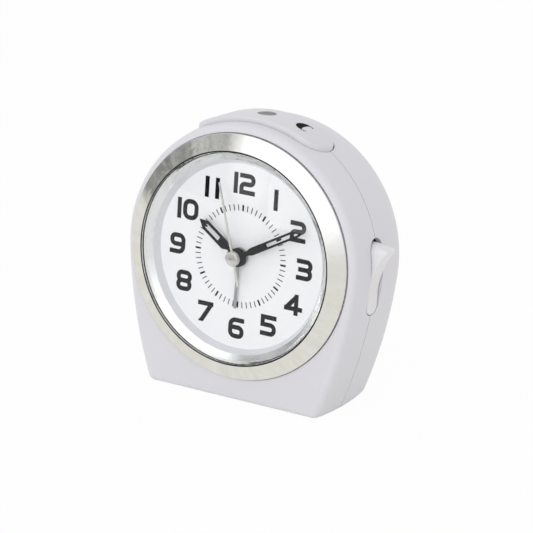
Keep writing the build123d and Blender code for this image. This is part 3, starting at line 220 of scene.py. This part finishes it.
# Coil: enamelled copper wire wound side by side on the bobbin, along X.
# The real wire is far too fine to show, so its turns are drawn a quarter of a millimetre wide.
copper_turn_mm = 0.25
copper_relief_mm = 0.05
wave_period = 0.314
copper = blank_material("copper_enamelled")
copper_place = add_node(copper, "ShaderNodeTexCoord").outputs["Object"]
copper_turns = add_node(
    copper,
    "ShaderNodeTexWave",
    {"Vector": copper_place, "Scale": wave_period / (copper_turn_mm * MM), "Distortion": 0.4},
    bands_direction="X",
).outputs[1]
# Each turn's colour runs from dark copper in the groove between turns to bright copper on its crown:
# painted shade in the grooves and a painted highlight on the crowns.
copper_painted_shade_tint = add_node(
    copper,
    "ShaderNodeMix",
    {mix_share: copper_turns, mix_first: linear("#7A3A1E"), mix_second: linear("#C8713A")},
    data_type="RGBA",
)
copper_relief = add_node(
    copper,
    "ShaderNodeBump",
    {"Height": copper_turns, "Distance": copper_relief_mm * MM},
)
copper_shader = add_node(
    copper,
    "ShaderNodeBsdfPrincipled",
    {
        "Base Color": copper_painted_shade_tint.outputs[mix_result],
        "Normal": copper_relief.outputs[0],
        "Metallic": 1.0,
        "Roughness": 0.3,
    },
)
add_node(copper, "ShaderNodeOutputMaterial", {"Surface": copper_shader.outputs[0]})
dress(copper, "coil_winding")

# Boards: glass-epoxy sheets under green solder mask, one on the movement and one under the bar.
# Copper tracks show through the mask as paler lines round squares.
track_mm = 1.6
brick_width = 0.5
board_green = blank_material("solder_mask_green")
board_place = add_node(board_green, "ShaderNodeTexCoord").outputs["Object"]
tracks = add_node(
    board_green,
    "ShaderNodeTexBrick",
    {
        "Vector": board_place,
        "Color1": linear("#1D5B34"),
        "Color2": linear("#236B3E"),
        "Mortar": linear("#3F8A55"),
        "Scale": brick_width / (track_mm * MM),
        "Mortar Size": 0.03,
    },
)
board_shader = add_node(
    board_green,
    "ShaderNodeBsdfPrincipled",
    {"Base Color": tracks.outputs[0], "Roughness": 0.3, "IOR": 1.5},
)
add_node(board_green, "ShaderNodeOutputMaterial", {"Surface": board_shader.outputs[0]})
dress(board_green, "circuit_board", "top_board")

# Small electric parts: the sounder, the two switches and the light sensor have housings moulded
# in black plastic, and the chip lies under a blob of black epoxy.
black_moulding = moulded_plastic(
    "plastic_black",
    "#232426",
    "#1A1B1C",
    cloud_mm=5.0,
    grain_mm=0.3,
    relief_mm=0.004,
    gloss=0.5,
    ior=1.52,
)
dress(black_moulding, "chip", "buzzer", "snooze_switch", "light_sensor", "slide_switch")

# Dial: a thin plastic disc sprayed matt white, faintly blue, on which the print stands.
# The spray leaves a fine even speckle. The hand axis stands square on its middle.
lean_degrees = 6.6
dial_lean = math.radians(lean_degrees)
hand_axis = Vector((0.0, -math.cos(dial_lean), math.sin(dial_lean)))
dial_low, dial_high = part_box("dial")
dial_middle = (dial_low + dial_high) / 2
dial_white = moulded_plastic(
    "dial_paint_white",
    "#F8F9FC",
    "#F4F5F9",
    cloud_mm=20.0,
    grain_mm=0.3,
    relief_mm=0.002,
    gloss=0.5,
    ior=1.5,
)
dress(dial_white, "dial")

# Figures and minute track: black ink, screen printed on the dial in one thick matt coat.
# The screen's mesh leaves the coat very slightly uneven.
ink = moulded_plastic(
    "ink_black",
    "#121518",
    "#0D1012",
    cloud_mm=3.0,
    grain_mm=0.25,
    relief_mm=0.006,
    gloss=0.6,
    ior=1.12,
)
dress(ink, "dial_numerals", "minute_track")

# Ring between dial and crystal: moulded, then plated on its upper slope, which mirrors the room,
# and sprayed with satin silver lacquer on the steep slope that meets the dial.
slope_change_mm = 33.2
flake_mm = 0.35
swell_mm = 9.0
swell_depth_mm = 0.12
lacquer_roughness, plate_roughness = 0.42, 0.1
lacquer_metallic, plate_metallic = 0.15, 1.0


def axis_distance(material):
    """Distance from the hand axis: the length of the offset crossed with the axis."""
    place = add_node(material, "ShaderNodeTexCoord").outputs["Object"]
    offset = add_node(
        material,
        "ShaderNodeVectorMath",
        {0: place, 1: dial_middle},
        operation="SUBTRACT",
    )
    across = add_node(
        material,
        "ShaderNodeVectorMath",
        {0: offset.outputs[0], 1: hand_axis},
        operation="CROSS_PRODUCT",
    )
    reach = add_node(material, "ShaderNodeVectorMath", {0: across.outputs[0]}, operation="LENGTH")
    return reach.outputs["Value"]


ring_silver = blank_material("plated_and_lacquered_silver")
silver_place = add_node(ring_silver, "ShaderNodeTexCoord").outputs["Object"]
upper_slope = add_node(
    ring_silver,
    "ShaderNodeMath",
    {0: axis_distance(ring_silver), 1: slope_change_mm * MM},
    operation="GREATER_THAN",
).outputs[0]
flakes = add_node(
    ring_silver,
    "ShaderNodeTexNoise",
    {"Vector": silver_place, "Scale": 1 / (flake_mm * MM), "Detail": 2.0},
)
lacquer_tint = add_node(
    ring_silver,
    "ShaderNodeMix",
    {mix_share: flakes.outputs[0], mix_first: linear("#E6E8EC"), mix_second: linear("#DFE1E6")},
    data_type="RGBA",
)
silver_tint = add_node(
    ring_silver,
    "ShaderNodeMix",
    {
        mix_share: upper_slope,
        mix_first: lacquer_tint.outputs[mix_result],
        mix_second: linear("#E2E3E3"),
    },
    data_type="RGBA",
)
silver_gloss = add_node(
    ring_silver,
    "ShaderNodeMapRange",
    {"Value": upper_slope, "To Min": lacquer_roughness, "To Max": plate_roughness},
)
silver_metal = add_node(
    ring_silver,
    "ShaderNodeMapRange",
    {"Value": upper_slope, "To Min": lacquer_metallic, "To Max": plate_metallic},
)
swells = add_node(
    ring_silver,
    "ShaderNodeTexNoise",
    {"Vector": silver_place, "Scale": 1 / (swell_mm * MM), "Detail": 1.0, "Distortion": 1.0},
)
swell_relief = add_node(
    ring_silver,
    "ShaderNodeBump",
    {"Height": swells.outputs[0], "Distance": swell_depth_mm * MM},
)
silver_shader = add_node(
    ring_silver,
    "ShaderNodeBsdfPrincipled",
    {
        "Base Color": silver_tint.outputs[mix_result],
        "Roughness": silver_gloss.outputs[0],
        "Metallic": silver_metal.outputs[0],
        "Normal": swell_relief.outputs[0],
    },
)
add_node(ring_silver, "ShaderNodeOutputMaterial", {"Surface": silver_shader.outputs[0]})
dress(ring_silver, "dial_ring")

# Hour and minute hands: stamped from aluminium sheet and pressed on their tubes.
# Black lacquer gives them a soft gloss with hardly any texture.
hand_lacquer = moulded_plastic(
    "lacquer_black",
    "#111315",
    "#0B0C0D",
    cloud_mm=4.0,
    grain_mm=0.3,
    relief_mm=0.002,
    gloss=0.45,
    ior=1.12,
)
dress(hand_lacquer, "hour_hand", "minute_hand")

# Alarm hand: a slim stamped strip of bare aluminium, pressed on the alarm wheel's tube.
# It is brushed along X, across the hand where it points down.
brushed = worked_metal("aluminium_brushed", "#A4A9AC", "#8B9093", mark_mm=0.15, run_mm=2.0, gloss=0.36)
dress(brushed, "alarm_hand")

# Second hand: a needle of aluminium under a round cap that is turned on a lathe.
# The tool leaves fine rings round the hand axis. They are drawn as two near greys, and coarser
# than real ones, or they would not show.
turning_mm = 0.4
turned = blank_material("aluminium_turned")
turn_angle = add_node(
    turned,
    "ShaderNodeMath",
    {0: axis_distance(turned), 1: 2 * math.pi / (turning_mm * MM)},
    operation="MULTIPLY",
)
turn_wave = add_node(turned, "ShaderNodeMath", {0: turn_angle.outputs[0]}, operation="SINE")
turn_share = add_node(
    turned,
    "ShaderNodeMapRange",
    {"Value": turn_wave.outputs[0], "From Min": -1.0},
)
turn_tint = add_node(
    turned,
    "ShaderNodeMix",
    {mix_share: turn_share.outputs[0], mix_first: linear("#D2D2CE"), mix_second: linear("#C2C2BE")},
    data_type="RGBA",
)
turned_shader = add_node(
    turned,
    "ShaderNodeBsdfPrincipled",
    {"Base Color": turn_tint.outputs[mix_result], "Roughness": 0.42, "Metallic": 0.4},
)
add_node(turned, "ShaderNodeOutputMaterial", {"Surface": turned_shader.outputs[0]})
dress(turned, "second_hand")

# Bezel: ABS ring, plated with bright chrome and pressed into the front shell. Plating follows
# the moulding, so its long slow ripples bend the room's reflection into wavy streaks.
ripple_mm = 7.0
ripple_depth_mm = 0.06
clear_roughness, hazy_roughness = 0.04, 0.09
chrome = blank_material("chrome_plated")
bezel_place = add_node(chrome, "ShaderNodeTexCoord").outputs["Object"]
ripple = add_node(
    chrome,
    "ShaderNodeTexNoise",
    {"Vector": bezel_place, "Scale": 1 / (ripple_mm * MM), "Detail": 1.5, "Distortion": 1.2},
)
ripple_relief = add_node(
    chrome,
    "ShaderNodeBump",
    {"Height": ripple.outputs[0], "Distance": ripple_depth_mm * MM},
)
haze = add_node(
    chrome,
    "ShaderNodeMapRange",
    {
        "Value": ripple.outputs[0],
        "From Min": noise_low,
        "From Max": noise_high,
        "To Min": clear_roughness,
        "To Max": hazy_roughness,
    },
)
chrome_shader = add_node(
    chrome,
    "ShaderNodeBsdfPrincipled",
    {
        "Base Color": linear("#DEDEDC"),
        "Roughness": haze.outputs[0],
        "Normal": ripple_relief.outputs[0],
        "Metallic": 1.0,
    },
)
add_node(chrome, "ShaderNodeOutputMaterial", {"Surface": chrome_shader.outputs[0]})
dress(chrome, "bezel")

# Crystal: a shallow dome moulded in clear acrylic, held by its flange under the bezel's lip.
# It mirrors the room faintly and lets the light fall on the dial.
acrylic = blank_material("acrylic_clear")
acrylic_shader = add_node(
    acrylic,
    "ShaderNodeBsdfPrincipled",
    {"Base Color": linear("#FFFFFF"), "Roughness": 0.0, "IOR": 1.49, "Transmission Weight": 1.0},
)
open_way = add_node(acrylic, "ShaderNodeBsdfTransparent")
acrylic_ray = add_node(acrylic, "ShaderNodeLightPath")
light_ray = add_node(
    acrylic,
    "ShaderNodeMath",
    {0: acrylic_ray.outputs["Is Shadow Ray"], 1: acrylic_ray.outputs["Is Diffuse Ray"]},
    operation="MAXIMUM",
)
acrylic_mix = add_node(
    acrylic,
    "ShaderNodeMixShader",
    {0: light_ray.outputs[0], 1: acrylic_shader.outputs[0], 2: open_way.outputs[0]},
)
add_node(acrylic, "ShaderNodeOutputMaterial", {"Surface": acrylic_mix.outputs[0]})
dress(acrylic, "crystal")

# Case: two shells of white ABS from a spark-eroded tool, screwed together from behind, with
# the battery door of the same plastic. A grain of a fifth of a millimetre makes it satin.
# It is drawn at twice that size to show at all.
case_abs = moulded_plastic(
    "abs_white_satin",
    "#DEDDE3",
    "#DAD9DF",
    cloud_mm=25.0,
    grain_mm=0.4,
    relief_mm=0.004,
    gloss=0.42,
    ior=1.53,
)
dress(case_abs, "front_case", "rear_case", "battery_door")

# Snooze bar: moulded in the same white ABS and held by its flange under the shells.
# Fingers have worn its grain a little smoother than theirs. Its colour is a shade darker
# than the shells': painted shade for its upward-facing top.
worn_abs_painted_shade = moulded_plastic(
    "abs_white_worn_painted_shade",
    "#DAD9DE",
    "#D6D5DA",
    cloud_mm=20.0,
    grain_mm=0.4,
    relief_mm=0.003,
    gloss=0.36,
    ior=1.53,
)
dress(worn_abs_painted_shade, "snooze_bar")

# Alarm slide and setting knobs: white ABS from a smoother tool, a shade paler than the shells.
# The paleness is partly a paler plastic and partly painted light, for the light that the slide's
# ramp catches from above.
# The slide is held by its flange behind the wall, and the knobs are pushed on their shafts.
knob_abs_painted_light = moulded_plastic(
    "abs_white_smooth_painted_light",
    "#E8E7EB",
    "#E4E3E7",
    cloud_mm=20.0,
    grain_mm=0.4,
    relief_mm=0.002,
    gloss=0.34,
    ior=1.53,
)
dress(knob_abs_painted_light, "alarm_switch", "time_set_knob", "alarm_set_knob")

# Crescent on the snooze bar: a plain moon, pad printed in one coat of black ink on the crown.
# Two arcs share their horns; the stretch between them is carried round the bar's curve.
moon_along_mm = 15.0
moon_radius_mm = 3.0
moon_horn_share = 0.75
moon_waist_share = 0.55
moon_steps, moon_layers = 48, 5
half_coat_mm = 0.04
across_direction = np.array((1.0, 0.0, 0.0))
front_direction = np.array(hand_axis)
crown_direction = np.array((0.0, math.sin(dial_lean), math.cos(dial_lean)))
dial_point = np.array(dial_middle)


def offsets_from_dial(name):
    """Corners of a CAD node's mesh, as offsets from the middle of the dial."""
    mesh = nodes[name].data
    points = np.empty(len(mesh.vertices) * 3)
    mesh.vertices.foreach_get("co", points)
    return points.reshape(-1, 3) - dial_point


def crescent(radius, horn_share, waist_share, steps, layers):
    """Moon on a flat grid: across it, points run from the outer arc to the same arc drawn flatter."""
    horn = horn_share * math.pi
    turn, layer = np.meshgrid(
        np.linspace(-horn, horn, steps),
        np.linspace(0, 1, layers),
        indexing="ij",
    )
    outer_x, outer_y = -radius * np.cos(turn), radius * np.sin(turn)
    horn_x = -radius * math.cos(horn)
    inner_x = horn_x + (outer_x - horn_x) * (1 - waist_share)
    return outer_x + layer * (inner_x - outer_x), outer_y


bar_offsets = offsets_from_dial("snooze_bar")
bar_depths = bar_offsets @ front_direction
bar_radius = np.linalg.norm(np.cross(bar_offsets, front_direction), axis=1).max()
moon_x, moon_y = crescent(
    moon_radius_mm * MM,
    moon_horn_share,
    moon_waist_share,
    moon_steps,
    moon_layers,
)
moon_angle = (moon_along_mm * MM + moon_x) / bar_radius
moon_depth = (bar_depths.min() + bar_depths.max()) / 2 - moon_y
moon_reach = bar_radius + half_coat_mm * MM
moon_points = (
    dial_point
    + np.sin(moon_angle)[..., None] * moon_reach * across_direction
    + np.cos(moon_angle)[..., None] * moon_reach * crown_direction
    + moon_depth[..., None] * front_direction
)
moon_corner = (np.arange(moon_steps - 1)[:, None] * moon_layers + np.arange(moon_layers - 1)).ravel()
moon_faces = np.stack(
    (moon_corner, moon_corner + 1, moon_corner + moon_layers + 1, moon_corner + moon_layers),
    axis=1,
)
moon_mesh = bpy.data.meshes.new("snooze_moon")
moon_mesh.from_pydata(moon_points.reshape(-1, 3).tolist(), [], moon_faces.tolist())
moon_mesh.materials.append(ink)
moon = bpy.data.objects.new("snooze_moon", moon_mesh)
bpy.context.scene.collection.objects.link(moon)
moon_coat = moon.modifiers.new("coat", "SOLIDIFY")
moon_coat.thickness = 2 * half_coat_mm * MM
moon_coat.offset = 0.0
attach(moon, "snooze_button")

# Return springs of the snooze bar: two coils of round steel wire between the board and the bar.
# They stand for the CAD springs, which are rigid.
spring_wire_mm = 0.5
spring_turns = 4
spring_steps, spring_sides = 160, 12
spring_wire = spring_wire_mm * MM
spring_offsets = offsets_from_dial("snooze_springs")
spring_rises = spring_offsets @ crown_direction
spring_depths = spring_offsets @ front_direction
spring_length = spring_rises.max() - spring_rises.min()
right_spring = spring_offsets[spring_offsets[:, 0] > 0, 0]
spring_place = (right_spring.min() + right_spring.max()) / 2
spring_radius = (right_spring.max() - right_spring.min() - spring_wire) / 2


def coil(radius, wire, height, turns, steps, sides):
    """Round wire carried up a helix: at each step a ring of points stands square to the helix."""
    turn = np.linspace(0, 2 * math.pi * turns, steps)[:, None]
    ring = np.linspace(0, 2 * math.pi, sides, endpoint=False)
    slope = math.atan2(height, 2 * math.pi * turns * radius)
    reach = radius + wire / 2 * np.cos(ring)
    tilt = wire / 2 * np.sin(ring) * math.sin(slope)
    across = reach * np.cos(turn) + tilt * np.sin(turn)
    back = reach * np.sin(turn) - tilt * np.cos(turn)
    up = height * turn / turn.max() + wire / 2 * np.sin(ring) * math.cos(slope)
    return np.stack((across, back, up), axis=-1).reshape(-1, 3)


wire_points = coil(
    spring_radius,
    spring_wire,
    spring_length - spring_wire,
    spring_turns,
    spring_steps,
    spring_sides,
)
spring_axes = np.array((across_direction, -front_direction, crown_direction))
spring_foot = (
    dial_point
    + (spring_depths.min() + spring_depths.max()) / 2 * front_direction
    + spring_rises.min() * crown_direction
)
one_spring = wire_points @ spring_axes + spring_foot + spring_wire / 2 * crown_direction
spring_shift = spring_place * across_direction
spring_points = np.concatenate((one_spring + spring_shift, one_spring - spring_shift))
ring_start = np.arange(spring_steps - 1)[:, None] * spring_sides
ring_corner = np.arange(spring_sides)
next_corner = (ring_corner + 1) % spring_sides
wire_faces = np.stack(
    (
        ring_start + ring_corner,
        ring_start + spring_sides + ring_corner,
        ring_start + spring_sides + next_corner,
        ring_start + next_corner,
    ),
    axis=-1,
).reshape(-1, 4)
wire_ends = np.stack((ring_corner, ring_corner[::-1] + (spring_steps - 1) * spring_sides))
spring_faces = [
    *wire_faces.tolist(),
    *wire_ends.tolist(),
    *(wire_faces + len(one_spring)).tolist(),
    *(wire_ends + len(one_spring)).tolist(),
]
spring_mesh = bpy.data.meshes.new("snooze_coils")
spring_mesh.from_pydata(spring_points.tolist(), [], spring_faces)
spring_mesh.polygons.foreach_set("use_smooth", np.ones(len(spring_faces), dtype=bool))
spring_mesh.materials.append(steel)
springs = bpy.data.objects.new("snooze_coils", spring_mesh)
bpy.context.scene.collection.objects.link(springs)
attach(springs, "case")
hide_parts("snooze_springs")
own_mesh(springs)

# Sensor window: a plug of smoky polycarbonate pressed into the bar and polished on top.
# It pipes the light of the room down to the sensor.
smoky = moulded_plastic(
    "polycarbonate_smoky",
    "#6C6A66",
    "#605E5B",
    cloud_mm=4.0,
    grain_mm=0.6,
    relief_mm=0.001,
    gloss=0.3,
    ior=1.3,
)
dress(smoky, "sensor_window")

# Battery cell: an alkaline cell in a plain shrink sleeve, dark with a copper-coloured shoulder.
# It lies across the bay between the contact plate and the spring.
shoulder_share = 0.3
cell_low, cell_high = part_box("battery_cell")
shoulder_x = cell_low.x + shoulder_share * (cell_high.x - cell_low.x)
sleeve = blank_material("sleeve_two_tone")
sleeve_place = add_node(sleeve, "ShaderNodeTexCoord").outputs["Object"]
sleeve_axis = add_node(sleeve, "ShaderNodeSeparateXYZ", {0: sleeve_place})
sleeve_step = add_node(
    sleeve,
    "ShaderNodeMath",
    {0: sleeve_axis.outputs[0], 1: shoulder_x},
    operation="GREATER_THAN",
)
sleeve_tint = add_node(
    sleeve,
    "ShaderNodeMix",
    {mix_share: sleeve_step.outputs[0], mix_first: linear("#B97B45"), mix_second: linear("#2A2C30")},
    data_type="RGBA",
)
sleeve_shader = add_node(
    sleeve,
    "ShaderNodeBsdfPrincipled",
    {"Base Color": sleeve_tint.outputs[mix_result], "Roughness": 0.3, "IOR": 1.5},
)
add_node(sleeve, "ShaderNodeOutputMaterial", {"Surface": sleeve_shader.outputs[0]})
dress(sleeve, "battery_cell")

# Studio floor: a pale sheet, wide enough to fill the view. What the camera sees of it is mostly
# plain white, and the rest carries the clock's soft shadow. Mirrors see the walls below instead.
floor_half = 3.0
floor_drop = 0.0001
white_share = 0.95
floor_mesh = bpy.data.meshes.new("studio_floor")
floor_corners = np.array([(-1, -1, 0), (1, -1, 0), (1, 1, 0), (-1, 1, 0)]) * floor_half
floor_corners[:, 2] = -floor_drop
floor_mesh.from_pydata(floor_corners.tolist(), [], [(0, 1, 2, 3)])
floor = bpy.data.objects.new("studio_floor", floor_mesh)
bpy.context.scene.collection.objects.link(floor)
floor.visible_glossy = False
paper = blank_material("paper_pale")
paper_ray = add_node(paper, "ShaderNodeLightPath")
paper_mirror = add_node(
    paper,
    "ShaderNodeMath",
    {0: paper_ray.outputs["Is Glossy Ray"], 1: paper_ray.outputs["Is Transmission Ray"]},
    operation="MAXIMUM",
)
paper_seen = add_node(
    paper,
    "ShaderNodeMath",
    {0: paper_mirror.outputs[0], 1: paper_ray.outputs["Is Camera Ray"]},
    operation="MAXIMUM",
)
paper_share = add_node(
    paper,
    "ShaderNodeMath",
    {0: paper_seen.outputs[0], 1: white_share},
    operation="MULTIPLY",
)
paper_diffuse = add_node(paper, "ShaderNodeBsdfDiffuse", {"Color": linear("#F4F3F0")})
paper_white = add_node(paper, "ShaderNodeEmission", {"Color": linear("#FFFFFF"), "Strength": 1.0})
paper_mix = add_node(
    paper,
    "ShaderNodeMixShader",
    {0: paper_share.outputs[0], 1: paper_diffuse.outputs[0], 2: paper_white.outputs[0]},
)
add_node(paper, "ShaderNodeOutputMaterial", {"Surface": paper_mix.outputs[0]})
floor_mesh.materials.append(paper)

# Studio walls: white above and ivory below for mirrors, with three cards for the polished parts:
# a streaky grey one on the left, a bright panel over the camera, and a black one that keeps the
# crystal clear, with a narrow window in it. For matt surfaces the walls are an even soft light.
room_light = 0.86
panel_light = 1.5
horizon_blur = 0.12
streak_size = 0.06
streak_low, streak_high = 0.38, 0.62
crystal_bounces = 4
wall_white = linear("#FFFFFF")
panel_white = (panel_light, panel_light, panel_light, 1.0)
matt_white = (room_light, room_light, room_light, 1.0)
world = bpy.data.worlds.new("studio_room")
world.use_nodes = True
world.node_tree.nodes.clear()
bpy.context.scene.world = world
room_place = add_node(world, "ShaderNodeTexCoord").outputs["Generated"]


def direction(azimuth, elevation):
    """Unit vector to an azimuth, 0 in front of the dial and positive to the right, and a height."""
    a, e = math.radians(azimuth), math.radians(elevation)
    return Vector((math.sin(a) * math.cos(e), -math.cos(a) * math.cos(e), math.sin(e)))


def card(azimuth, elevation, inner, outer):
    """Round patch on the walls: 1 within the inner angle of its middle, 0 beyond the outer one."""
    nearness = add_node(
        world,
        "ShaderNodeVectorMath",
        {0: room_place, 1: direction(azimuth, elevation)},
        operation="DOT_PRODUCT",
    )
    fade = add_node(
        world,
        "ShaderNodeMapRange",
        {
            "Value": nearness.outputs["Value"],
            "From Min": math.cos(math.radians(outer)),
            "From Max": math.cos(math.radians(inner)),
        },
        interpolation_type="SMOOTHSTEP",
    )
    return fade.outputs[0]


def painted(wall, *coats):
    """Wall colour under coats of paint, each a share and a colour, the first one at the back."""
    for share, colour in coats:
        mix = add_node(
            world,
            "ShaderNodeMix",
            {mix_share: share, mix_first: wall, mix_second: colour},
            data_type="RGBA",
        )
        wall = mix.outputs[mix_result]
    return wall


room_height = add_node(world, "ShaderNodeSeparateXYZ", {0: room_place}).outputs[2]
above_floor = add_node(
    world,
    "ShaderNodeMapRange",
    {"Value": room_height, "From Min": -horizon_blur, "From Max": horizon_blur},
    interpolation_type="SMOOTHSTEP",
).outputs[0]
streaks = add_node(
    world,
    "ShaderNodeTexNoise",
    {"Vector": room_place, "Scale": 1 / streak_size, "Detail": 3.0, "Distortion": 2.0},
)
streak_share = add_node(
    world,
    "ShaderNodeMapRange",
    {"Value": streaks.outputs[0], "From Min": streak_low, "From Max": streak_high},
).outputs[0]
ivory = painted(linear("#FFFEF8"), (streak_share, linear("#F3F1E8")))
deep_grey = painted(linear("#8A8A88"), (streak_share, linear("#BCBCBA")))
pale_grey = painted(linear("#B6B6B4"), (streak_share, linear("#E2E2E0")))
walls = painted(
    ivory,
    (above_floor, wall_white),
    (card(azimuth=-5.0, elevation=32.0, inner=25.0, outer=45.0), panel_white),
    (card(azimuth=-60.0, elevation=28.0, inner=9.0, outer=23.0), pale_grey),
    (card(azimuth=-75.0, elevation=10.0, inner=10.0, outer=20.0), deep_grey),
)
crystal_walls = painted(
    walls,
    (card(azimuth=-31.0, elevation=-8.0, inner=18.0, outer=30.0), linear("#3A3A3C")),
    (card(azimuth=-28.0, elevation=4.0, inner=2.0, outer=5.0), wall_white),
)
room_ray = add_node(world, "ShaderNodeLightPath")
behind_crystal = add_node(
    world,
    "ShaderNodeMath",
    {0: room_ray.outputs["Ray Depth"], 1: crystal_bounces},
    operation="GREATER_THAN",
).outputs[0]
mirrored = painted(crystal_walls, (behind_crystal, walls))
room_colour = painted(
    wall_white,
    (room_ray.outputs["Is Diffuse Ray"], matt_white),
    (room_ray.outputs["Is Glossy Ray"], mirrored),
)
room_shader = add_node(world, "ShaderNodeBackground", {"Color": room_colour, "Strength": 1.0})
add_node(world, "ShaderNodeOutputWorld", {"Surface": room_shader.outputs[0]})

# Soft lamp: one large square panel in front of the dial, a little above it. Mirrors see the
# cards on the walls instead.
lamp_place = Vector((-0.15, -1.5, 0.45))
lamp_size = 1.0
lamp_watts = 5.0
lamp_data = bpy.data.lights.new("soft_panel", "AREA")
lamp_data.shape = "SQUARE"
lamp_data.size = lamp_size
lamp_data.energy = lamp_watts
lamp = bpy.data.objects.new("soft_panel", lamp_data)
lamp.location = lamp_place
lamp.visible_glossy = False
lamp.rotation_mode = "QUATERNION"
lamp.rotation_quaternion = (dial_middle - lamp_place).to_track_quat("-Z", "Y")
bpy.context.scene.collection.objects.link(lamp)

# Camera: a long lens one metre away, to the right of the dial and above it. The dial's middle
# falls on this pixel of the square picture.
picture_side = 533.0
dial_pixel = Vector((241.5, 256.0))
camera_azimuth, camera_elevation = 32.1, 20.5
camera_distance = 1.0
camera_sensor_mm = 36.0
pixels_per_metre = 2990.0
camera_data = bpy.data.cameras.new("photo_camera")
camera_data.sensor_width = camera_sensor_mm
camera_data.lens = camera_sensor_mm * pixels_per_metre * camera_distance / picture_side
camera = bpy.data.objects.new("photo_camera", camera_data)
bpy.context.scene.collection.objects.link(camera)
bpy.context.scene.camera = camera
camera_turn = math.radians(camera_azimuth)
towards = direction(camera_azimuth, camera_elevation)
sideways = Vector((math.cos(camera_turn), math.sin(camera_turn), 0.0))
upwards = towards.cross(sideways)
aim_right = (picture_side / 2 - dial_pixel.x) / pixels_per_metre
aim_down = (picture_side / 2 - dial_pixel.y) / pixels_per_metre
aim = dial_middle + sideways * aim_right - upwards * aim_down
camera.location = dial_middle + towards * camera_distance
camera.rotation_mode = "QUATERNION"
camera.rotation_quaternion = (aim - camera.location).to_track_quat("-Z", "Y")
